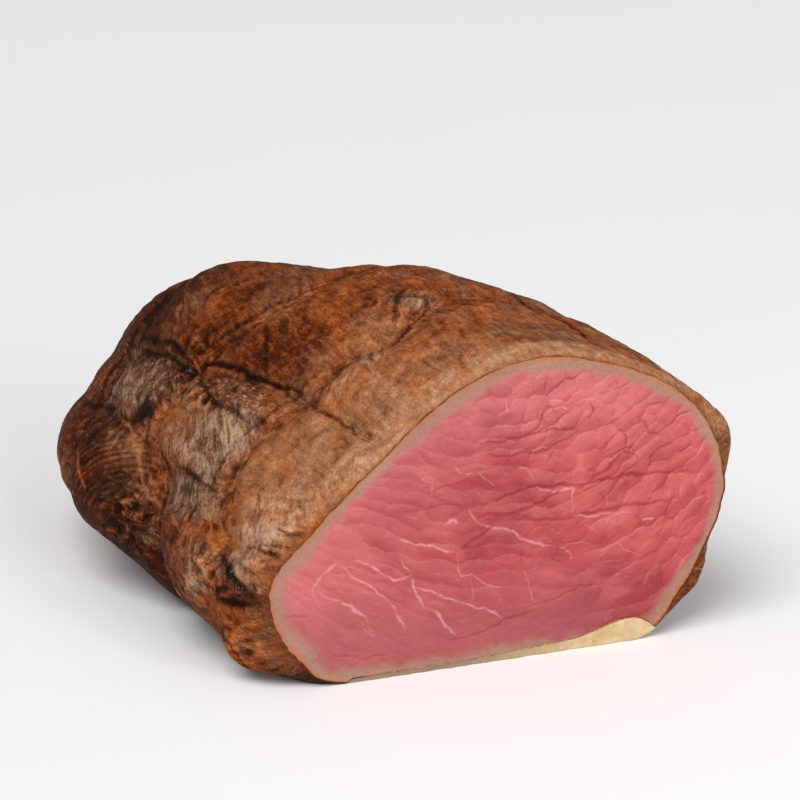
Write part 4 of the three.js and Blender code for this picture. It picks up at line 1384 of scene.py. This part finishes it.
class ROAST_OT_add_crust(bpy.types.Operator):
    """Adds the browned crust"""

    bl_idname = "roast.add_crust"
    bl_label = "Add crust"

    def execute(self, context):
        look = context.scene.roast.crust
        place_piece("browned_crust", crust_arrays(look), "skin", crust_finish(look), "roast")
        return {"FINISHED"}


class ROAST_OT_add_flesh(bpy.types.Operator):
    """Adds the pink cut inside the crust's rim"""

    bl_idname = "roast.add_flesh"
    bl_label = "Add flesh"

    def execute(self, context):
        look = context.scene.roast.flesh
        place_piece("pink_flesh", flesh_arrays(look), "cut", flesh_finish(look), "roast")
        return {"FINISHED"}


class ROAST_OT_add_fat(bpy.types.Operator):
    """Adds the strip of fat under the cut"""

    bl_idname = "roast.add_fat"
    bl_label = "Add fat"

    def execute(self, context):
        look = context.scene.roast.fat
        place_piece("roasted_fat", fat_arrays(look), "strip", fat_finish(look), "fat_cap")
        return {"FINISHED"}


class ROAST_OT_set_stage(bpy.types.Operator):
    """Sets the floor, the lights and the camera"""

    bl_idname = "roast.set_stage"
    bl_label = "Set stage"

    def execute(self, context):
        look = context.scene.roast.stage
        add_floor(look)
        aim = Vector(look.aim)
        add_light("key_light", "SUN", look.key_light, {"angle": look.key_spread}, aim + KEY_OFFSET, aim)
        add_light("fill_light", "AREA", look.fill_light, {"size": FILL_SIZE}, aim + FILL_OFFSET, aim)
        add_sky(look.sky)
        add_camera(look, aim)
        context.scene.view_settings.view_transform = "Standard"
        return {"FINISHED"}


def add_floor(look):
    """A wide flat floor under the joint."""
    corners = [(x * FLOOR_HALF, y * FLOOR_HALF, 0) for x, y in ((-1, -1), (1, -1), (1, 1), (-1, 1))]
    mesh = bpy.data.meshes.new("stage_floor")
    mesh.from_pydata(corners, [], [(0, 1, 2, 3)])
    mesh.materials.append(floor_finish(look))
    floor = add_object("stage_floor", mesh)


def add_light(name, kind, power, shape, place, aim):
    """A soft light of that kind, power and shape, turned to what it lights."""
    light = bpy.data.lights.new(name, kind)
    light.energy = power
    for key, value in shape.items():
        setattr(light, key, value)
    lamp = add_object(name, light)
    lamp.location = place
    lamp.rotation_euler = (aim - place).to_track_quat("-Z", "Y").to_euler()


def add_sky(strength):
    """Even white light from all round."""
    world = bpy.data.worlds.new("studio")
    world.use_nodes = True
    background = world.node_tree.nodes["Background"]
    background.inputs["Color"].default_value = (1, 1, 1, 1)
    background.inputs["Strength"].default_value = strength
    bpy.context.scene.world = world


def add_camera(look, aim):
    """The camera, on a sphere round what it looks at, with the far end of the joint turned away from it."""
    flat = math.cos(look.elevation)
    back = Vector((math.sin(look.azimuth) * flat, -math.cos(look.azimuth) * flat, math.sin(look.elevation)))
    camera = add_object("camera", bpy.data.cameras.new("camera"))
    camera.data.lens = look.lens
    camera.data.clip_end = CAMERA_REACH
    camera.location = aim + back * look.distance
    camera.rotation_euler = (-back).to_track_quat("-Z", "Y").to_euler()
    bpy.context.scene.camera = camera


class ROAST_PT_panel(bpy.types.Panel):
    """Lists the pieces of the joint and their settings"""

    bl_idname = "ROAST_PT_panel"
    bl_label = "Roast beef joint"
    bl_space_type = "VIEW_3D"
    bl_region_type = "UI"
    bl_category = "Roast"

    def draw(self, context):
        for operator in OPERATORS:
            self.layout.operator(operator.bl_idname)
        roast = context.scene.roast
        for group in (roast.crust, roast.flesh, roast.fat, roast.stage):
            box = self.layout.box()
            for key in group.__annotations__:
                box.prop(group, key)


OPERATORS = (ROAST_OT_add_crust, ROAST_OT_add_flesh, ROAST_OT_add_fat, ROAST_OT_set_stage)
SETTINGS = (CrustSettings, FleshSettings, FatSettings, StageSettings, RoastSettings)
CLASSES = (*SETTINGS, *OPERATORS, ROAST_PT_panel)


def register():
    """Adds the settings, the operators and the panel to Blender."""
    for entry in CLASSES:
        bpy.utils.register_class(entry)
    bpy.types.Scene.roast = bpy.props.PointerProperty(type=RoastSettings)


def unregister():
    """Takes them away again."""
    del bpy.types.Scene.roast
    for entry in reversed(CLASSES):
        bpy.utils.unregister_class(entry)


def main():
    """Makes the joint and its stage."""
    register()
    bpy.ops.roast.add_crust()
    bpy.ops.roast.add_flesh()
    bpy.ops.roast.add_fat()
    bpy.ops.roast.set_stage()
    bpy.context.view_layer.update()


if __name__ == "__main__":
    main()
